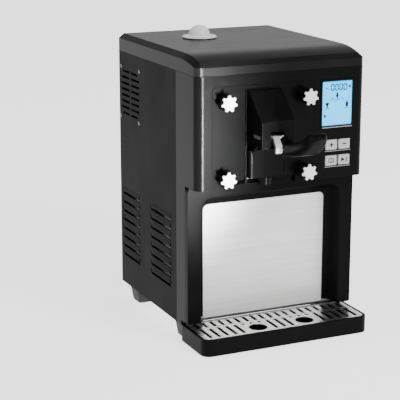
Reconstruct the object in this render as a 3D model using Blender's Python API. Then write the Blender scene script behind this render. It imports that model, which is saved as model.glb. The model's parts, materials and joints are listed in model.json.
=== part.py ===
"""Countertop soft serve machine: a steel and moulded cabinet with a freezing cylinder behind a
removable dispensing door, a draw lever, a hopper, a refrigeration set and a drip tray.

Lengths are metres. +Z is up, the front faces -Y, and X runs to the machine's right as seen from
the front. Depths are counted from the fascia's front plane, positive to the rear, and the empty
called machine carries that plane to its place, so that the whole object's box is centred on the
origin and stands on z = 0.
"""
import math

import bmesh
import bpy
from mathutils import Matrix, Vector

# ---- clearances and wall thicknesses ----
GAP = 0.0003             # between pieces that touch
SLIP = 0.0006            # between pieces that slide or press
STEEL = 0.0015           # folded sheet
WALL = 0.0025            # moulded walls

# ---- cabinet ----
BODY_W = 0.280
BODY_D = 0.306
BODY_H = 0.443
CAP_H = 0.027            # height of the top cover
CHAMFER_IN = 0.009
CHAMFER_DROP = 0.007
CROWN_RUN = 0.060        # depth over which the top falls towards the front
CROWN_FALL = 0.008
CORNER_R = 0.012         # upright front corners
SPLIT_D = 0.075          # seam between the front housing and the side panels
HEAD_Z = 0.247           # underside of the overhanging head
LEG_H = 0.025            # feet

# ---- recess under the head ----
FRAME_D = 0.030          # front face of the lower frame
FRAME_LIP = 0.011        # how far its flange wraps round the side
FRAME_Z = 0.033
FRAME_PROUD = 0.001
FRAME_SIDE = 0.021       # width of the frame's uprights at the front
FRAME_TOP = 0.018        # height of the frame above the recess at the front
RECESS_R = 0.020
PANEL_D = 0.056          # face of the splash panel
PANEL_SIDE = 0.036       # from the cabinet's side to the panel
PANEL_TOP = 0.036        # from the head's underside to the panel
PANEL_Z = 0.031
PANEL_R = 0.008
PANEL_T = 0.001
FRAME_BACK = 0.004       # how far the frame's back reaches behind the panel's face

# ---- drip tray ----
TRAY_FRONT = 0.030       # how far it stands out in front of the fascia
TRAY_BACK = 0.055
TRAY_LOW = 0.0005
TRAY_TOP = 0.027
TRAY_PROUD = 0.001
TRAY_R = 0.014
TRAY_RIM = 0.005
GRID_T = 0.0015
CUP_HOLE_R = 0.0145
CUP_HOLE_X = 0.040
SLOT_W = 0.0055
SLOT_PITCH = 0.0138

# ---- dispensing head ----
DOOR_W = 0.168
DOOR_H = 0.152
DOOR_LEFT = 0.025        # from the cabinet's left side to the door
DOOR_T = 0.0097
DOOR_R = 0.008
KNOB_X = 0.0665          # knobs from the door's middle
KNOB_LOW = 0.0175        # lower knobs above the head's underside
KNOB_RISE = 0.1135
KNOB_R = 0.0123
KNOB_L = 0.0210
STUD_R = 0.003
VALVE_W = 0.059
VALVE_FRONT = 0.012
VALVE_Z = 0.015          # above the head's underside
VALVE_H = 0.042
BORE_D = -0.003          # depth of the valve's upright axis
BORE_R = 0.007
HOOD_L = 0.029           # hood's left side from the valve's axis
HOOD_R = 0.025
HOOD_REACH = 0.050
HOOD_Z = 0.067
HOOD_FRONT_H = 0.038
HOOD_H = 0.078
PIVOT_D = -0.0325
PIVOT_Z = 0.0815
PIN_R = 0.0027
ARM_X = -0.0075          # arm's middle from the valve's axis
ARM_W = 0.0100
ARM_T = 0.0050
GRIP_W = 0.0282
GRIP_REACH = 0.149       # tip of the grip in front of the fascia
NOZZLE_R = 0.0115

# ---- display and keys ----
LCD_W = 0.052
LCD_H = 0.068
LCD_RIGHT = 0.0215       # from the cabinet's right side to the glass
LCD_Z = 0.0805
KEY_W = 0.0195
KEY_H = 0.0155
KEY_PITCH_X = 0.0224
KEY_PITCH_Z = 0.0242
KEY_RIGHT = 0.0342       # from the cabinet's right side to the right keys' middle
KEY_Z = 0.0273
KEY_TRAVEL = 0.0015
KEY_PROUD = 0.0012

# ---- freezing cylinder and drive ----
BARREL_R = 0.040
BARREL_T = 0.002
BARREL_D0 = 0.0123
BARREL_L = 0.172
FLANGE_T = 0.004
COIL_CLEAR = 0.0015       # from the cylinder's wall to the coil
COIL_TUBE = 0.003
COIL_TURNS = 5
COIL_SIDES = 16          # straight stretches in one turn
FOAM_CLEAR = 0.002        # from the coil to the sleeve
FOAM_T = 0.0065
SHAFT_R = 0.005
GEAR_TEETH = 48
PINION_TEETH = 12
MODULE = 0.00125
GEAR_T = 0.008

# ---- hopper ----
HOPPER_W = 0.156
HOPPER_D = 0.090         # front wall of the mix tank
HOPPER_BACK = 0.016      # from the cabinet's back to the tank
TANK_T = 0.002
FEED_R = 0.006           # tube from the tank to the cylinder
HOPPER_LIFT = 0.00475    # from the cylinder's sleeve to the tank
NECK_X = -0.042
NECK_D = 0.206
NECK_R = 0.021
LID_R = 0.0275
DOME_R = 0.0168
DOME_H = 0.0150
FEED_D = 0.110

# ---- fan and side vents ----
FAN_SIZE = 0.092
FAN_T = 0.025
FAN_BACK = 0.048         # from the cabinet's back to the fan's axis
FAN_Z = 0.351
VENT_ROWS = 8
VENT_PITCH = 0.0098
VENT_H = 0.0036
LOUVRE_PITCH = 0.0150
LOUVRE_H = 0.0045

# ---- cold set ----
POT_R = 0.048
POT_H = 0.120
POT_X = 0.066
POT_D = 0.228

# ---- rear ----
INLET_PROUD = 0.002
INLET_X = 0.095
INLET_Z = 0.070
SWITCH_Z = 0.110

# ---- worked out from the above ----
HALF = BODY_W / 2
SEAM_Z = BODY_H - CAP_H
DOOR_X = -HALF + DOOR_LEFT + DOOR_W / 2
VALVE_X = DOOR_X + 0.0005
KNOB_Z = HEAD_Z + KNOB_LOW
BARREL_Z = KNOB_Z + KNOB_RISE / 2
PIVOT = Vector((VALVE_X, PIVOT_D, HEAD_Z + PIVOT_Z))
LCD_X = HALF - LCD_RIGHT - LCD_W / 2
LCD_MID_Z = HEAD_Z + LCD_Z + LCD_H / 2
BARREL_D1 = BARREL_D0 + BARREL_L
COIL_R = BARREL_R + BARREL_T + COIL_CLEAR + COIL_TUBE
FOAM_IN = COIL_R + COIL_TUBE + FOAM_CLEAR
FOAM_OUT = FOAM_IN + FOAM_T
FAN_D = BODY_D - FAN_BACK
GEAR_D = BARREL_D1 + 0.010
GEAR_R = MODULE * GEAR_TEETH / 2
PINION_R = MODULE * PINION_TEETH / 2
MOTOR_X = DOOR_X + GEAR_R + PINION_R
FRONT = -(BODY_D + INLET_PROUD - GRIP_REACH) / 2


# ---------------------------------------------------------------- making shapes

def clear_scene():
    """Remove what the start-up file holds."""
    for thing in list(bpy.data.objects):
        bpy.data.objects.remove(thing, do_unlink=True)


def closed(bm):
    """Merge doubled points and turn the faces outwards."""
    bmesh.ops.remove_doubles(bm, verts=bm.verts, dist=1e-6)
    bmesh.ops.recalc_face_normals(bm, faces=bm.faces)
    return bm


def place(axis, a, b, along):
    """A point of an outline that is extruded along an axis."""
    return {"x": (along, a, b), "y": (a, along, b), "z": (a, b, along)}[axis]


def prism(outline, axis, start, end):
    """An outline in the plane across an axis, extruded from start to end."""
    return lofted([[place(axis, a, b, s) for a, b in outline] for s in (start, end)])


def lofted(sections):
    """Closed skin through sections with the same number of points, with flat ends."""
    bm = bmesh.new()
    loops = [[bm.verts.new(p) for p in section] for section in sections]
    for low, high in zip(loops, loops[1:]):
        for i in range(len(low)):
            j = (i + 1) % len(low)
            bm.faces.new((low[i], low[j], high[j], high[i]))
    bm.faces.new(loops[0])
    bm.faces.new(loops[-1])
    return closed(bm)


def box(low, high):
    """A block between two corners."""
    outline = [(low[0], low[1]), (high[0], low[1]), (high[0], high[1]), (low[0], high[1])]
    return prism(outline, "z", low[2], high[2])


def rounded(a0, b0, a1, b1, radii, steps=4):
    """Outline of a rectangle whose corners have radii, from the low-low corner anticlockwise."""
    if not isinstance(radii, tuple):
        radii = (radii,) * 4
    corners = [(a0, b0, 1, 1, 180), (a1, b0, -1, 1, 270), (a1, b1, -1, -1, 0), (a0, b1, 1, -1, 90)]
    points = []
    for (a, b, sa, sb, start), r in zip(corners, radii):
        if r <= 0:
            points.append((a, b))
            continue
        for k in range(steps + 1):
            t = math.radians(start + 90 * k / steps)
            points.append((a + sa * r + r * math.cos(t), b + sb * r + r * math.sin(t)))
    return points


def circle(a, b, r, steps=24, turn=0.0):
    """Outline of a circle."""
    return [(a + r * math.cos(turn + 2 * math.pi * k / steps),
             b + r * math.sin(turn + 2 * math.pi * k / steps)) for k in range(steps)]


def rod(axis, a, b, r, start, end, steps=24):
    """A round bar along an axis."""
    return prism(circle(a, b, r, steps), axis, start, end)


def turned(profile, centre, axis="z", steps=28):
    """A closed outline of radius and height, spun about an axis through centre."""
    bm = bmesh.new()
    verts = [bm.verts.new((r, 0.0, h)) for r, h in profile]
    edges = [bm.edges.new((verts[i], verts[(i + 1) % len(verts)])) for i in range(len(verts))]
    bmesh.ops.spin(bm, geom=verts + edges, cent=(0, 0, 0), axis=(0, 0, 1), angle=2 * math.pi,
                   steps=steps, use_duplicate=False)
    bmesh.ops.remove_doubles(bm, verts=bm.verts, dist=1e-6)
    bmesh.ops.dissolve_degenerate(bm, edges=bm.edges, dist=1e-7)
    if axis == "y":
        bmesh.ops.rotate(bm, verts=bm.verts, matrix=Matrix.Rotation(math.radians(-90), 3, "X"))
    if axis == "x":
        bmesh.ops.rotate(bm, verts=bm.verts, matrix=Matrix.Rotation(math.radians(90), 3, "Y"))
    bmesh.ops.translate(bm, verts=bm.verts, vec=centre)
    return closed(bm)


def merged(*shapes):
    """Several separate shapes in one mesh, for use as one cutter or one addition."""
    bm = bmesh.new()
    for shape in shapes:
        mesh = bpy.data.meshes.new("shape")
        shape.to_mesh(mesh)
        shape.free()
        bm.from_mesh(mesh)
        bpy.data.meshes.remove(mesh)
    return bm


def finish(name, rgb, roughness, metallic):
    """A plain surface for one sub-part."""
    material = bpy.data.materials.new(name)
    material.use_nodes = True
    shader = material.node_tree.nodes["Principled BSDF"]
    shader.inputs["Base Color"].default_value = (*rgb, 1.0)
    shader.inputs["Roughness"].default_value = roughness
    shader.inputs["Metallic"].default_value = metallic
    return material


PAINT = ((0.030, 0.030, 0.032), 0.42, 0.0)
GLOSS = ((0.012, 0.012, 0.013), 0.24, 0.0)
SATIN = ((0.010, 0.010, 0.011), 0.38, 0.0)
BRUSHED = ((0.62, 0.62, 0.61), 0.30, 1.0)
BRIGHT = ((0.75, 0.75, 0.74), 0.16, 1.0)
ZINC = ((0.45, 0.46, 0.47), 0.40, 1.0)
COPPER = ((0.72, 0.36, 0.22), 0.30, 1.0)
RUBBER = ((0.015, 0.015, 0.015), 0.80, 0.0)
MILKY = ((0.85, 0.86, 0.84), 0.30, 0.0)
GREY = ((0.55, 0.55, 0.54), 0.45, 0.0)
FOAM = ((0.70, 0.66, 0.48), 0.90, 0.0)
BOARD = ((0.03, 0.20, 0.08), 0.50, 0.0)
SCREEN = ((0.25, 0.70, 0.85), 0.15, 0.0)
CASTING = ((0.20, 0.21, 0.22), 0.50, 1.0)


def node(name, bm, look, origin=(0, 0, 0), sharp=30):
    """A named sub-part whose origin is at a point of the machine's frame."""
    origin = Vector(origin)
    bmesh.ops.translate(bm, verts=bm.verts, vec=-origin)
    mesh = bpy.data.meshes.new(name)
    bm.to_mesh(mesh)
    bm.free()
    mesh.shade_smooth()
    mesh.set_sharp_from_angle(angle=math.radians(sharp))
    mesh.materials.append(finish(name, *look))
    piece = bpy.data.objects.new(name, mesh)
    piece.location = origin
    piece.parent = MACHINE
    bpy.context.scene.collection.objects.link(piece)
    return piece


def work(piece, operation, bm, label):
    """Cut a shape from a piece or join it on, with the shape kept as a hidden guide."""
    mesh = bpy.data.meshes.new(label)
    bm.to_mesh(mesh)
    bm.free()
    guide = bpy.data.objects.new(label, mesh)
    guide.parent = MACHINE
    guide.hide_render = True
    guide.display_type = "WIRE"
    bpy.context.scene.collection.objects.link(guide)
    change = piece.modifiers.new(label, "BOOLEAN")
    change.operation = operation
    change.solver = "EXACT"
    change.object = guide


def cut(piece, *shapes):
    """Take shapes away from a piece."""
    count = len(piece.modifiers)
    work(piece, "DIFFERENCE", merged(*shapes), f"{piece.name}_cut_{count}")


def fuse(piece, shape):
    """Join a shape to a piece."""
    count = len(piece.modifiers)
    work(piece, "UNION", shape, f"{piece.name}_join_{count}")


# ---------------------------------------------------------------- cabinet

def make_base():
    """Folded steel base pan with upturned lips, on four rubber feet."""
    side = HALF - WALL - GAP
    front = PANEL_D + FRAME_BACK + GAP
    back = BODY_D - STEEL - GAP
    low = LEG_H + GAP
    pan = node("base_pan", box((-side, front, low), (side, back, low + 0.012)), ZINC)
    cut(pan, box((-side + STEEL, front + STEEL, low + STEEL),
                 (side - STEEL, back - STEEL, low + 0.020)))
    foot_x = side - 0.0185
    for where, depth in (("front", TRAY_BACK + 0.020), ("rear", back - 0.042)):
        for hand, sign in (("left", -1), ("right", 1)):
            top = rounded(sign * foot_x - 0.018, depth - 0.018, sign * foot_x + 0.018, depth + 0.018,
                          0.004, 2)
            foot = rounded(sign * foot_x - 0.014, depth - 0.015, sign * foot_x + 0.014, depth + 0.015,
                           0.004, 2)
            sections = [[(a, b, 0.0) for a, b in foot], [(a, b, LEG_H) for a, b in top]]
            node(f"foot_{where}_{hand}", lofted(sections), RUBBER)


def vent_cutters(low_x, high_x):
    """Upper fan grille and two banks of lower louvres, as slots across X."""
    cuts = []
    for column, middle in enumerate((FAN_D + 0.0205, FAN_D - 0.0205)):
        for row in range(VENT_ROWS):
            z = FAN_Z + (row - (VENT_ROWS - 1) / 2) * VENT_PITCH
            half = 0.0170
            outer = 0.0060 if row in (0, VENT_ROWS - 1) else 0.0
            rear = middle + half - (outer if column == 0 else 0.0)
            near = middle - half + (outer if column == 1 else 0.0)
            cuts.append(box((low_x, near, z - VENT_H / 2), (high_x, rear, z + VENT_H / 2)))
    for middle, half in ((FAN_D, 0.0335), (0.135, 0.0375)):
        for row in range(VENT_ROWS):
            z = 0.0765 + row * LOUVRE_PITCH
            cuts.append(box((low_x, middle - half, z - LOUVRE_H / 2),
                            (high_x, middle + half, z + LOUVRE_H / 2)))
    return cuts


def make_sides():
    """Flat steel side panels with the fan grille and the louvres."""
    for hand, sign in (("left", -1), ("right", 1)):
        low_x, high_x = sorted((sign * (HALF - STEEL), sign * HALF))
        outline = [(SPLIT_D, LEG_H), (BODY_D, LEG_H), (BODY_D, SEAM_Z - GAP), (SPLIT_D, SEAM_Z - GAP)]
        panel = node(f"side_panel_{hand}", prism(outline, "x", low_x, high_x), PAINT)
        cut(panel, *vent_cutters(low_x - 0.002, high_x + 0.002))


def make_rear():
    """Rear panel between the sides, with vent slots and the supply openings."""
    side = HALF - STEEL - GAP
    panel = node("rear_panel", box((-side, BODY_D - STEEL, LEG_H), (side, BODY_D, SEAM_Z - GAP)), PAINT)
    d0, d1 = BODY_D - 0.005, BODY_D + 0.003
    cuts = []
    for bank in (-1, 1):
        for row in range(VENT_ROWS):
            z = 0.190 + row * LOUVRE_PITCH
            x = bank * 0.060
            cuts.append(box((x - 0.040, d0, z - LOUVRE_H / 2), (x + 0.040, d1, z + LOUVRE_H / 2)))
    cuts.append(box((INLET_X - 0.0140 - GAP, d0, INLET_Z - 0.0105 - GAP),
                    (INLET_X + 0.0140 + GAP, d1, INLET_Z + 0.0105 + GAP)))
    cuts.append(box((INLET_X - 0.0105 - GAP, d0, SWITCH_Z - 0.0070 - GAP),
                    (INLET_X + 0.0105 + GAP, d1, SWITCH_Z + 0.0070 + GAP)))
    cut(panel, *cuts)


def crown(depth):
    """Height of the top surface at a depth: flat behind, falling towards the front."""
    fall = max(0.0, (CROWN_RUN - depth) / (CROWN_RUN - CHAMFER_IN + 0.001))
    return BODY_H - CROWN_FALL * fall ** 2


def half_width(depth):
    """Half the cabinet's width at a depth, with the rounded upright front corners."""
    short = CORNER_R - depth
    if short <= 0:
        return HALF
    return HALF - CORNER_R + math.sqrt(max(0.0, CORNER_R ** 2 - short ** 2))


def cover_section(depth, inset):
    """Section of the top cover across X, at a depth, moved inwards by inset."""
    lift = min(1.0, depth / (CHAMFER_IN - 0.001))
    top = crown(max(depth, CHAMFER_IN - 0.001)) - CHAMFER_DROP * (1.0 - lift)
    shoulder = top - CHAMFER_DROP * lift
    wide = half_width(depth) - inset
    flat = wide - CHAMFER_IN * max(lift, 0.02)
    base = SEAM_Z - 0.002 if inset else SEAM_Z
    return [(-wide, depth, base), (wide, depth, base), (wide, depth, shoulder - inset),
            (flat, depth, top - inset), (-flat, depth, top - inset), (-wide, depth, shoulder - inset)]


def make_top():
    """Moulded top cover: a chamfered lid whose top falls towards the front."""
    depths = [0.0, 0.0012, 0.0035, 0.008, 0.012, 0.020, 0.030, 0.040, 0.050, CROWN_RUN, BODY_D]
    cover = node("top_cover", lofted([cover_section(d, 0.0) for d in depths]), PAINT, sharp=20)
    inner = [WALL + 0.0015] + [d for d in depths if d > 0.007][:-1] + [BODY_D - WALL]
    cut(cover, lofted([cover_section(d, WALL) for d in inner]))
    cut(cover, rod("z", NECK_X, NECK_D, NECK_R + 0.002 + SLIP, BODY_H - 0.010, BODY_H + 0.010, 28))


def make_front_housing():
    """Black moulded head: fascia, rounded corners, side strips and the head's underside."""
    t = WALL

    def corner_run(r, side, front):
        """Outline points from the left rear, round the front corners, to the right rear."""
        points = [(-side, SPLIT_D - GAP)]
        for k in range(7):
            a = math.pi + math.pi / 2 * k / 6
            points.append((-side + r + r * math.cos(a), front + r + r * math.sin(a)))
        points += [(-x, y) for x, y in reversed(points[1:])]
        points.append((side, SPLIT_D - GAP))
        return points

    outer = corner_run(CORNER_R, HALF, 0.0)
    inner = corner_run(CORNER_R - t, HALF - t, t)
    band = outer + inner[::-1]
    head = node("front_housing", prism(band, "z", HEAD_Z, SEAM_Z - GAP), GLOSS)
    floor = list(corner_run(CORNER_R - t, HALF - t + 0.0010, t - 0.0010))
    fuse(head, prism(floor, "z", HEAD_Z, HEAD_Z + t))
    for sign in (-1, 1):
        x0, x1 = sorted((sign * (HALF - t), sign * HALF))
        strip = [(FRAME_D + FRAME_LIP + GAP, FRAME_Z), (TRAY_BACK + 0.0023, FRAME_Z),
                 (TRAY_BACK + 0.0023, LEG_H), (SPLIT_D - GAP, LEG_H), (SPLIT_D - GAP, HEAD_Z + 0.004),
                 (FRAME_D + FRAME_LIP + GAP, HEAD_Z + 0.004)]
        fuse(head, prism(strip, "x", x0, x1))
    low, high = -0.002, t + 0.003
    door = rounded(DOOR_X - DOOR_W / 2 - GAP, HEAD_Z - 0.002, DOOR_X + DOOR_W / 2 + GAP,
                   HEAD_Z + DOOR_H + GAP, (0, 0, DOOR_R, DOOR_R))
    glass = rounded(LCD_X - LCD_W / 2 - 0.0033, LCD_MID_Z - LCD_H / 2 - 0.0038,
                    LCD_X + LCD_W / 2 + 0.0033, LCD_MID_Z + LCD_H / 2 + 0.0033, 0.004)
    cuts = [prism(door, "y", low, DOOR_T + GAP), prism(glass, "y", low, high)]
    for row in range(2):
        z = HEAD_Z + KEY_Z + row * KEY_PITCH_Z
        x1 = HALF - KEY_RIGHT + KEY_W / 2 + SLIP
        x0 = x1 - KEY_PITCH_X - KEY_W - 2 * SLIP
        cuts.append(prism(rounded(x0, z - KEY_H / 2 - SLIP, x1, z + KEY_H / 2 + SLIP, 0.0010, 1),
                          "y", low, high))
    cut(head, *cuts)
    cut(head, box((VALVE_X - VALVE_W / 2 - 0.002, low, HEAD_Z - 0.002),
                  (VALVE_X + VALVE_W / 2 + 0.002, 0.0118, HEAD_Z + t + 0.002)))


def make_lower_frame():
    """Lower front frame: an arch whose curved cheeks lead in to the splash panel."""
    wide = HALF + FRAME_PROUD
    top = HEAD_Z - GAP
    back = PANEL_D + FRAME_BACK
    flange = rounded(-wide, FRAME_Z, wide, top, (0.003, 0.003, 0.008, 0.008))
    frame = node("lower_front_frame", prism(flange, "y", FRAME_D, FRAME_D + FRAME_LIP), SATIN)
    inside = HALF - WALL - GAP
    fuse(frame, box((-inside, FRAME_D + 0.004, FRAME_Z), (inside, back, top)))
    sections = []
    steps = 5
    reach = PANEL_D + PANEL_T + GAP - FRAME_D
    for k in range(-1, steps + 1):
        t = max(k, 0) / steps
        ease = math.sin(t * math.pi / 2)
        half = HALF - FRAME_SIDE - (PANEL_SIDE - FRAME_SIDE - GAP) * (1 - math.cos(t * math.pi / 2))
        high = HEAD_Z - FRAME_TOP - (PANEL_TOP - FRAME_TOP - GAP) * (1 - math.cos(t * math.pi / 2))
        radius = RECESS_R + (PANEL_R - RECESS_R) * t
        depth = FRAME_D + reach * ease if k >= 0 else FRAME_D - 0.010
        outline = rounded(-half, FRAME_Z - 0.005, half, high, (0, 0, radius, radius), 5)
        sections.append([(a, depth, b) for a, b in outline])
    cut(frame, lofted(sections))
    half = HALF - PANEL_SIDE
    sheet = rounded(-half, PANEL_Z, half, HEAD_Z - PANEL_TOP, (0.002, 0.002, PANEL_R, PANEL_R), 5)
    node("splash_panel", prism(sheet, "y", PANEL_D, PANEL_D + PANEL_T), BRUSHED)


# ---------------------------------------------------------------- drip tray

def make_tray():
    """Black drip tray with a ledge, and the slotted steel grid that lies in it."""
    wide = HALF + TRAY_PROUD
    radii = (TRAY_R, TRAY_R, 0.003, 0.003)
    outer = rounded(-wide, -TRAY_FRONT, wide, TRAY_BACK, radii)
    tray = node("drip_tray", prism(outer, "z", TRAY_LOW, TRAY_TOP), SATIN,
                origin=(0, -TRAY_FRONT, TRAY_LOW))
    inner_radii = (TRAY_R - TRAY_RIM, TRAY_R - TRAY_RIM, 0.002, 0.002)
    ledge = rounded(-wide + TRAY_RIM, -TRAY_FRONT + 0.004, wide - TRAY_RIM, TRAY_BACK - 0.002, inner_radii)
    well = rounded(-wide + TRAY_RIM + 0.004, -TRAY_FRONT + 0.008, wide - TRAY_RIM - 0.004,
                   TRAY_BACK - 0.006, (0.007, 0.007, 0.002, 0.002))
    cut(tray, prism(ledge, "z", TRAY_TOP - GRID_T - GAP, TRAY_TOP + 0.002))
    cut(tray, prism(well, "z", TRAY_LOW + WALL, TRAY_TOP))
    plate = rounded(-wide + TRAY_RIM + GAP, -TRAY_FRONT + 0.004 + GAP, wide - TRAY_RIM - GAP,
                    TRAY_BACK - 0.002 - GAP, inner_radii)
    low, high = TRAY_TOP - GRID_T, TRAY_TOP
    grid = node("drip_grid", prism(plate, "z", low, high), BRIGHT, origin=(0, 0, low), sharp=40)
    cuts = []
    count = int((wide - 0.010) / SLOT_PITCH)

    def slot(x, near, far):
        """One long slot that runs front to back."""
        half = SLOT_W / 2
        cuts.append(box((x - half, near, low - 0.002), (x + half, far, high + 0.002)))

    for k in range(-count, count + 1):
        x = k * SLOT_PITCH
        slot(x, 0.0245, TRAY_BACK - 0.0085)
        beside = min(abs(x - CUP_HOLE_X), abs(x + CUP_HOLE_X))
        if beside > CUP_HOLE_R + SLOT_W:
            slot(x, -0.0205, 0.0185)
        else:
            slot(x, 0.0125, 0.0185)
    for sign in (-1, 1):
        cuts.append(rod("z", sign * CUP_HOLE_X, -0.0060, CUP_HOLE_R, low - 0.002, high + 0.002, 28))
    cut(grid, *cuts)


# ---------------------------------------------------------------- dispensing head

def stud_places():
    """The four corners where the door is held, as names and positions."""
    for height, z in (("upper", KNOB_Z + KNOB_RISE), ("lower", KNOB_Z)):
        for hand, sign in (("left", -1), ("right", 1)):
            yield f"{height}_{hand}", DOOR_X + sign * KNOB_X, z


def make_door():
    """Dispensing door with its plug, and the gasket that it squeezes."""
    outline = rounded(DOOR_X - DOOR_W / 2, HEAD_Z + GAP, DOOR_X + DOOR_W / 2, HEAD_Z + DOOR_H,
                      (0.001, 0.001, DOOR_R, DOOR_R))
    door = node("dispensing_door", prism(outline, "y", 0.0, DOOR_T), GLOSS, origin=(DOOR_X, 0, BARREL_Z))
    fuse(door, rod("y", DOOR_X, BARREL_Z, BARREL_R - SLIP, DOOR_T - 0.001, DOOR_T + 0.0055, 36))
    side = VALVE_W / 2 + GAP
    cuts = [rod("y", x, z, STUD_R + GAP, -0.002, DOOR_T + 0.002, 14) for _, x, z in stud_places()]
    cut(door, *cuts)
    cut(door, box((VALVE_X - side, -0.002, HEAD_Z - 0.002),
                  (VALVE_X + side, DOOR_T + 0.002, HEAD_Z + VALVE_Z + VALVE_H - 0.012)))
    cut(door, box((VALVE_X - side, -0.002, HEAD_Z + VALVE_Z + VALVE_H - 0.014),
                  (VALVE_X + side, DOOR_T - 0.0004 + GAP, HEAD_Z + VALVE_Z + VALVE_H + GAP)))
    cut(door, box((VALVE_X - 0.047, -0.002, HEAD_Z - 0.002),
                  (VALVE_X + 0.053, DOOR_T + 0.002, HEAD_Z + 0.011)))
    cut(door, rod("y", VALVE_X, HEAD_Z + 0.043, 0.0045, DOOR_T - 0.003, DOOR_T + 0.008, 16))
    block_top = HEAD_Z + VALVE_Z + VALVE_H
    cut(door, rod("z", VALVE_X, BORE_D, BORE_R + 0.0005, block_top - 0.004, PIVOT.z + 0.044, 20))
    ring = [(BARREL_R + 0.0010, 0.0), (BARREL_R + 0.0055, 0.0), (BARREL_R + 0.0055, 0.0020),
            (BARREL_R + 0.0010, 0.0020)]
    node("door_gasket", turned(ring, (DOOR_X, DOOR_T + GAP, BARREL_Z), "y", 36), MILKY)


def make_valve():
    """Valve body with its ears, the plunger and its rings, the star nozzle and the pivot pin."""
    z0 = HEAD_Z + VALVE_Z
    z1 = z0 + VALVE_H
    back = DOOR_T - 0.0004 - GAP
    x0, x1 = VALVE_X - VALVE_W / 2, VALVE_X + VALVE_W / 2
    plan = rounded(x0, -VALVE_FRONT, x1, back, (0.005, 0.005, 0, 0))
    body = node("valve_body", prism(plan, "z", z0, z1), GLOSS)
    ear_out = HOOD_R - WALL - 2 * GAP
    for sign in (-1, 1):
        shift = -(HOOD_L - HOOD_R) if sign < 0 else 0.0
        a, b = sorted((VALVE_X + shift + sign * ear_out, VALVE_X + shift + sign * (ear_out - 0.004)))
        ear = [(-0.0008, z1 - 0.004), (-0.0115, z1 - 0.004), (PIVOT_D - 0.006, PIVOT.z - 0.006),
               (PIVOT_D - 0.006, PIVOT.z + 0.006), (-0.0008, PIVOT.z + 0.006)]
        fuse(body, prism(ear, "x", a, b))
    cut(body, rod("z", VALVE_X, BORE_D, BORE_R, z0 - 0.002, z1 + 0.002, 24),
        rod("x", PIVOT_D, PIVOT.z, PIN_R + GAP, VALVE_X - 0.04, VALVE_X + 0.04, 16))
    slope = Vector((0, 0.0155, 0.0190))
    port = rod("z", 0, 0, 0.0035, -0.006, 0.016, 14)
    turn = Vector((0, 0, 1)).rotation_difference(slope)
    bmesh.ops.rotate(port, verts=port.verts, matrix=turn.to_matrix())
    bmesh.ops.translate(port, verts=port.verts, vec=(VALVE_X, BORE_D + 0.004, z0 + 0.013))
    cut(body, port)

    r = BORE_R - GAP
    tip, top = z0 + 0.004, PIVOT.z + 0.022
    grooves = [tip + 0.004, tip + 0.024]
    outline = [(0.0, tip), (r - 0.0015, tip), (r, tip + 0.0015)]
    for g in grooves:
        outline += [(r, g), (r - 0.0016, g), (r - 0.0016, g + 0.0022), (r, g + 0.0022)]
    outline += [(r, top - 0.001), (r - 0.001, top), (0.0, top)]
    plunger = node("valve_plunger", turned(outline, (VALVE_X, BORE_D, 0), "z", 24), MILKY,
                   origin=(VALVE_X, BORE_D, tip))
    cut(plunger, box((VALVE_X - 0.0032, BORE_D - 0.010, PIVOT.z - 0.0062),
                     (VALVE_X + 0.0032, BORE_D + 0.010, PIVOT.z + 0.0062)))
    for label, g in zip(("lower", "upper"), grooves):
        ring = [(r - 0.0013, g + GAP), (r - 0.0001, g + GAP), (r - 0.0001, g + 0.0022 - GAP),
                (r - 0.0013, g + 0.0022 - GAP)]
        node(f"plunger_ring_{label}", turned(ring, (VALVE_X, BORE_D, 0), "z", 24), RUBBER,
             origin=(VALVE_X, BORE_D, g))

    star = []
    for k in range(24):
        a = 2 * math.pi * k / 24
        reach = (0.0080, 0.0062, 0.0045, 0.0062)[k % 4]
        star.append((VALVE_X + reach * math.cos(a), BORE_D + reach * math.sin(a)))
    collar = [(0.0, z0 - GAP), (NOZZLE_R, z0 - GAP), (NOZZLE_R, z0 - 0.0035),
              (NOZZLE_R - 0.0015, z0 - 0.0045),
              (NOZZLE_R - 0.0015, z0 - 0.0120), (0.0, z0 - 0.0120)]
    nozzle = node("star_nozzle", turned(collar, (VALVE_X, BORE_D, 0), "z", 24), GLOSS)
    cut(nozzle, prism(star, "z", z0 - 0.020, z0 + 0.004))

    ends = (VALVE_X - HOOD_L + 0.0004, VALVE_X + HOOD_R - 0.0004)
    pin = node("pivot_pin", rod("x", PIVOT_D, PIVOT.z, PIN_R, ends[0] + 0.001, ends[1] - 0.001, 16), BRIGHT,
               origin=PIVOT)
    for end, sign in zip(ends, (1, -1)):
        a, b = sorted((end, end + sign * 0.0020))
        fuse(pin, prism(rounded(PIVOT_D - 0.010, PIVOT.z - 0.0025, PIVOT_D + 0.010, PIVOT.z + 0.0025,
                                0.0005, 1), "x", a, b))


def make_hood():
    """Slant-topped hood over the lever, open below and behind, with the lever's slot in front."""
    z0 = HEAD_Z + HOOD_Z
    front = -HOOD_REACH
    brow = z0 + HOOD_FRONT_H
    top = z0 + HOOD_H
    x0, x1 = VALVE_X - HOOD_L, VALVE_X + HOOD_R
    profile = [(-GAP, z0), (front, z0), (front, brow), (-0.0065, top), (-GAP, top)]
    hood = node("valve_hood", prism(profile, "x", x0, x1), GLOSS)
    t = WALL
    hollow = [(0.002, z0 - 0.002), (front + t, z0 - 0.002), (front + t, brow - t * 0.42),
              (-0.0065, top - t * 1.45), (0.002, top - t * 1.45)]
    cut(hood, prism(hollow, "x", x0 + t, x1 - t))
    slot = box((VALVE_X - 0.0140, front - 0.002, z0 - 0.002),
               (VALVE_X + 0.0070, front + 0.006, z0 + 0.0230))
    channel = 0.0028
    side = box((x0 - 0.002, PIVOT_D - 0.0125, PIVOT.z - channel), (x1 + 0.002, 0.002, PIVOT.z + channel))
    cut(hood, slot)
    cut(hood, side)


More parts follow.
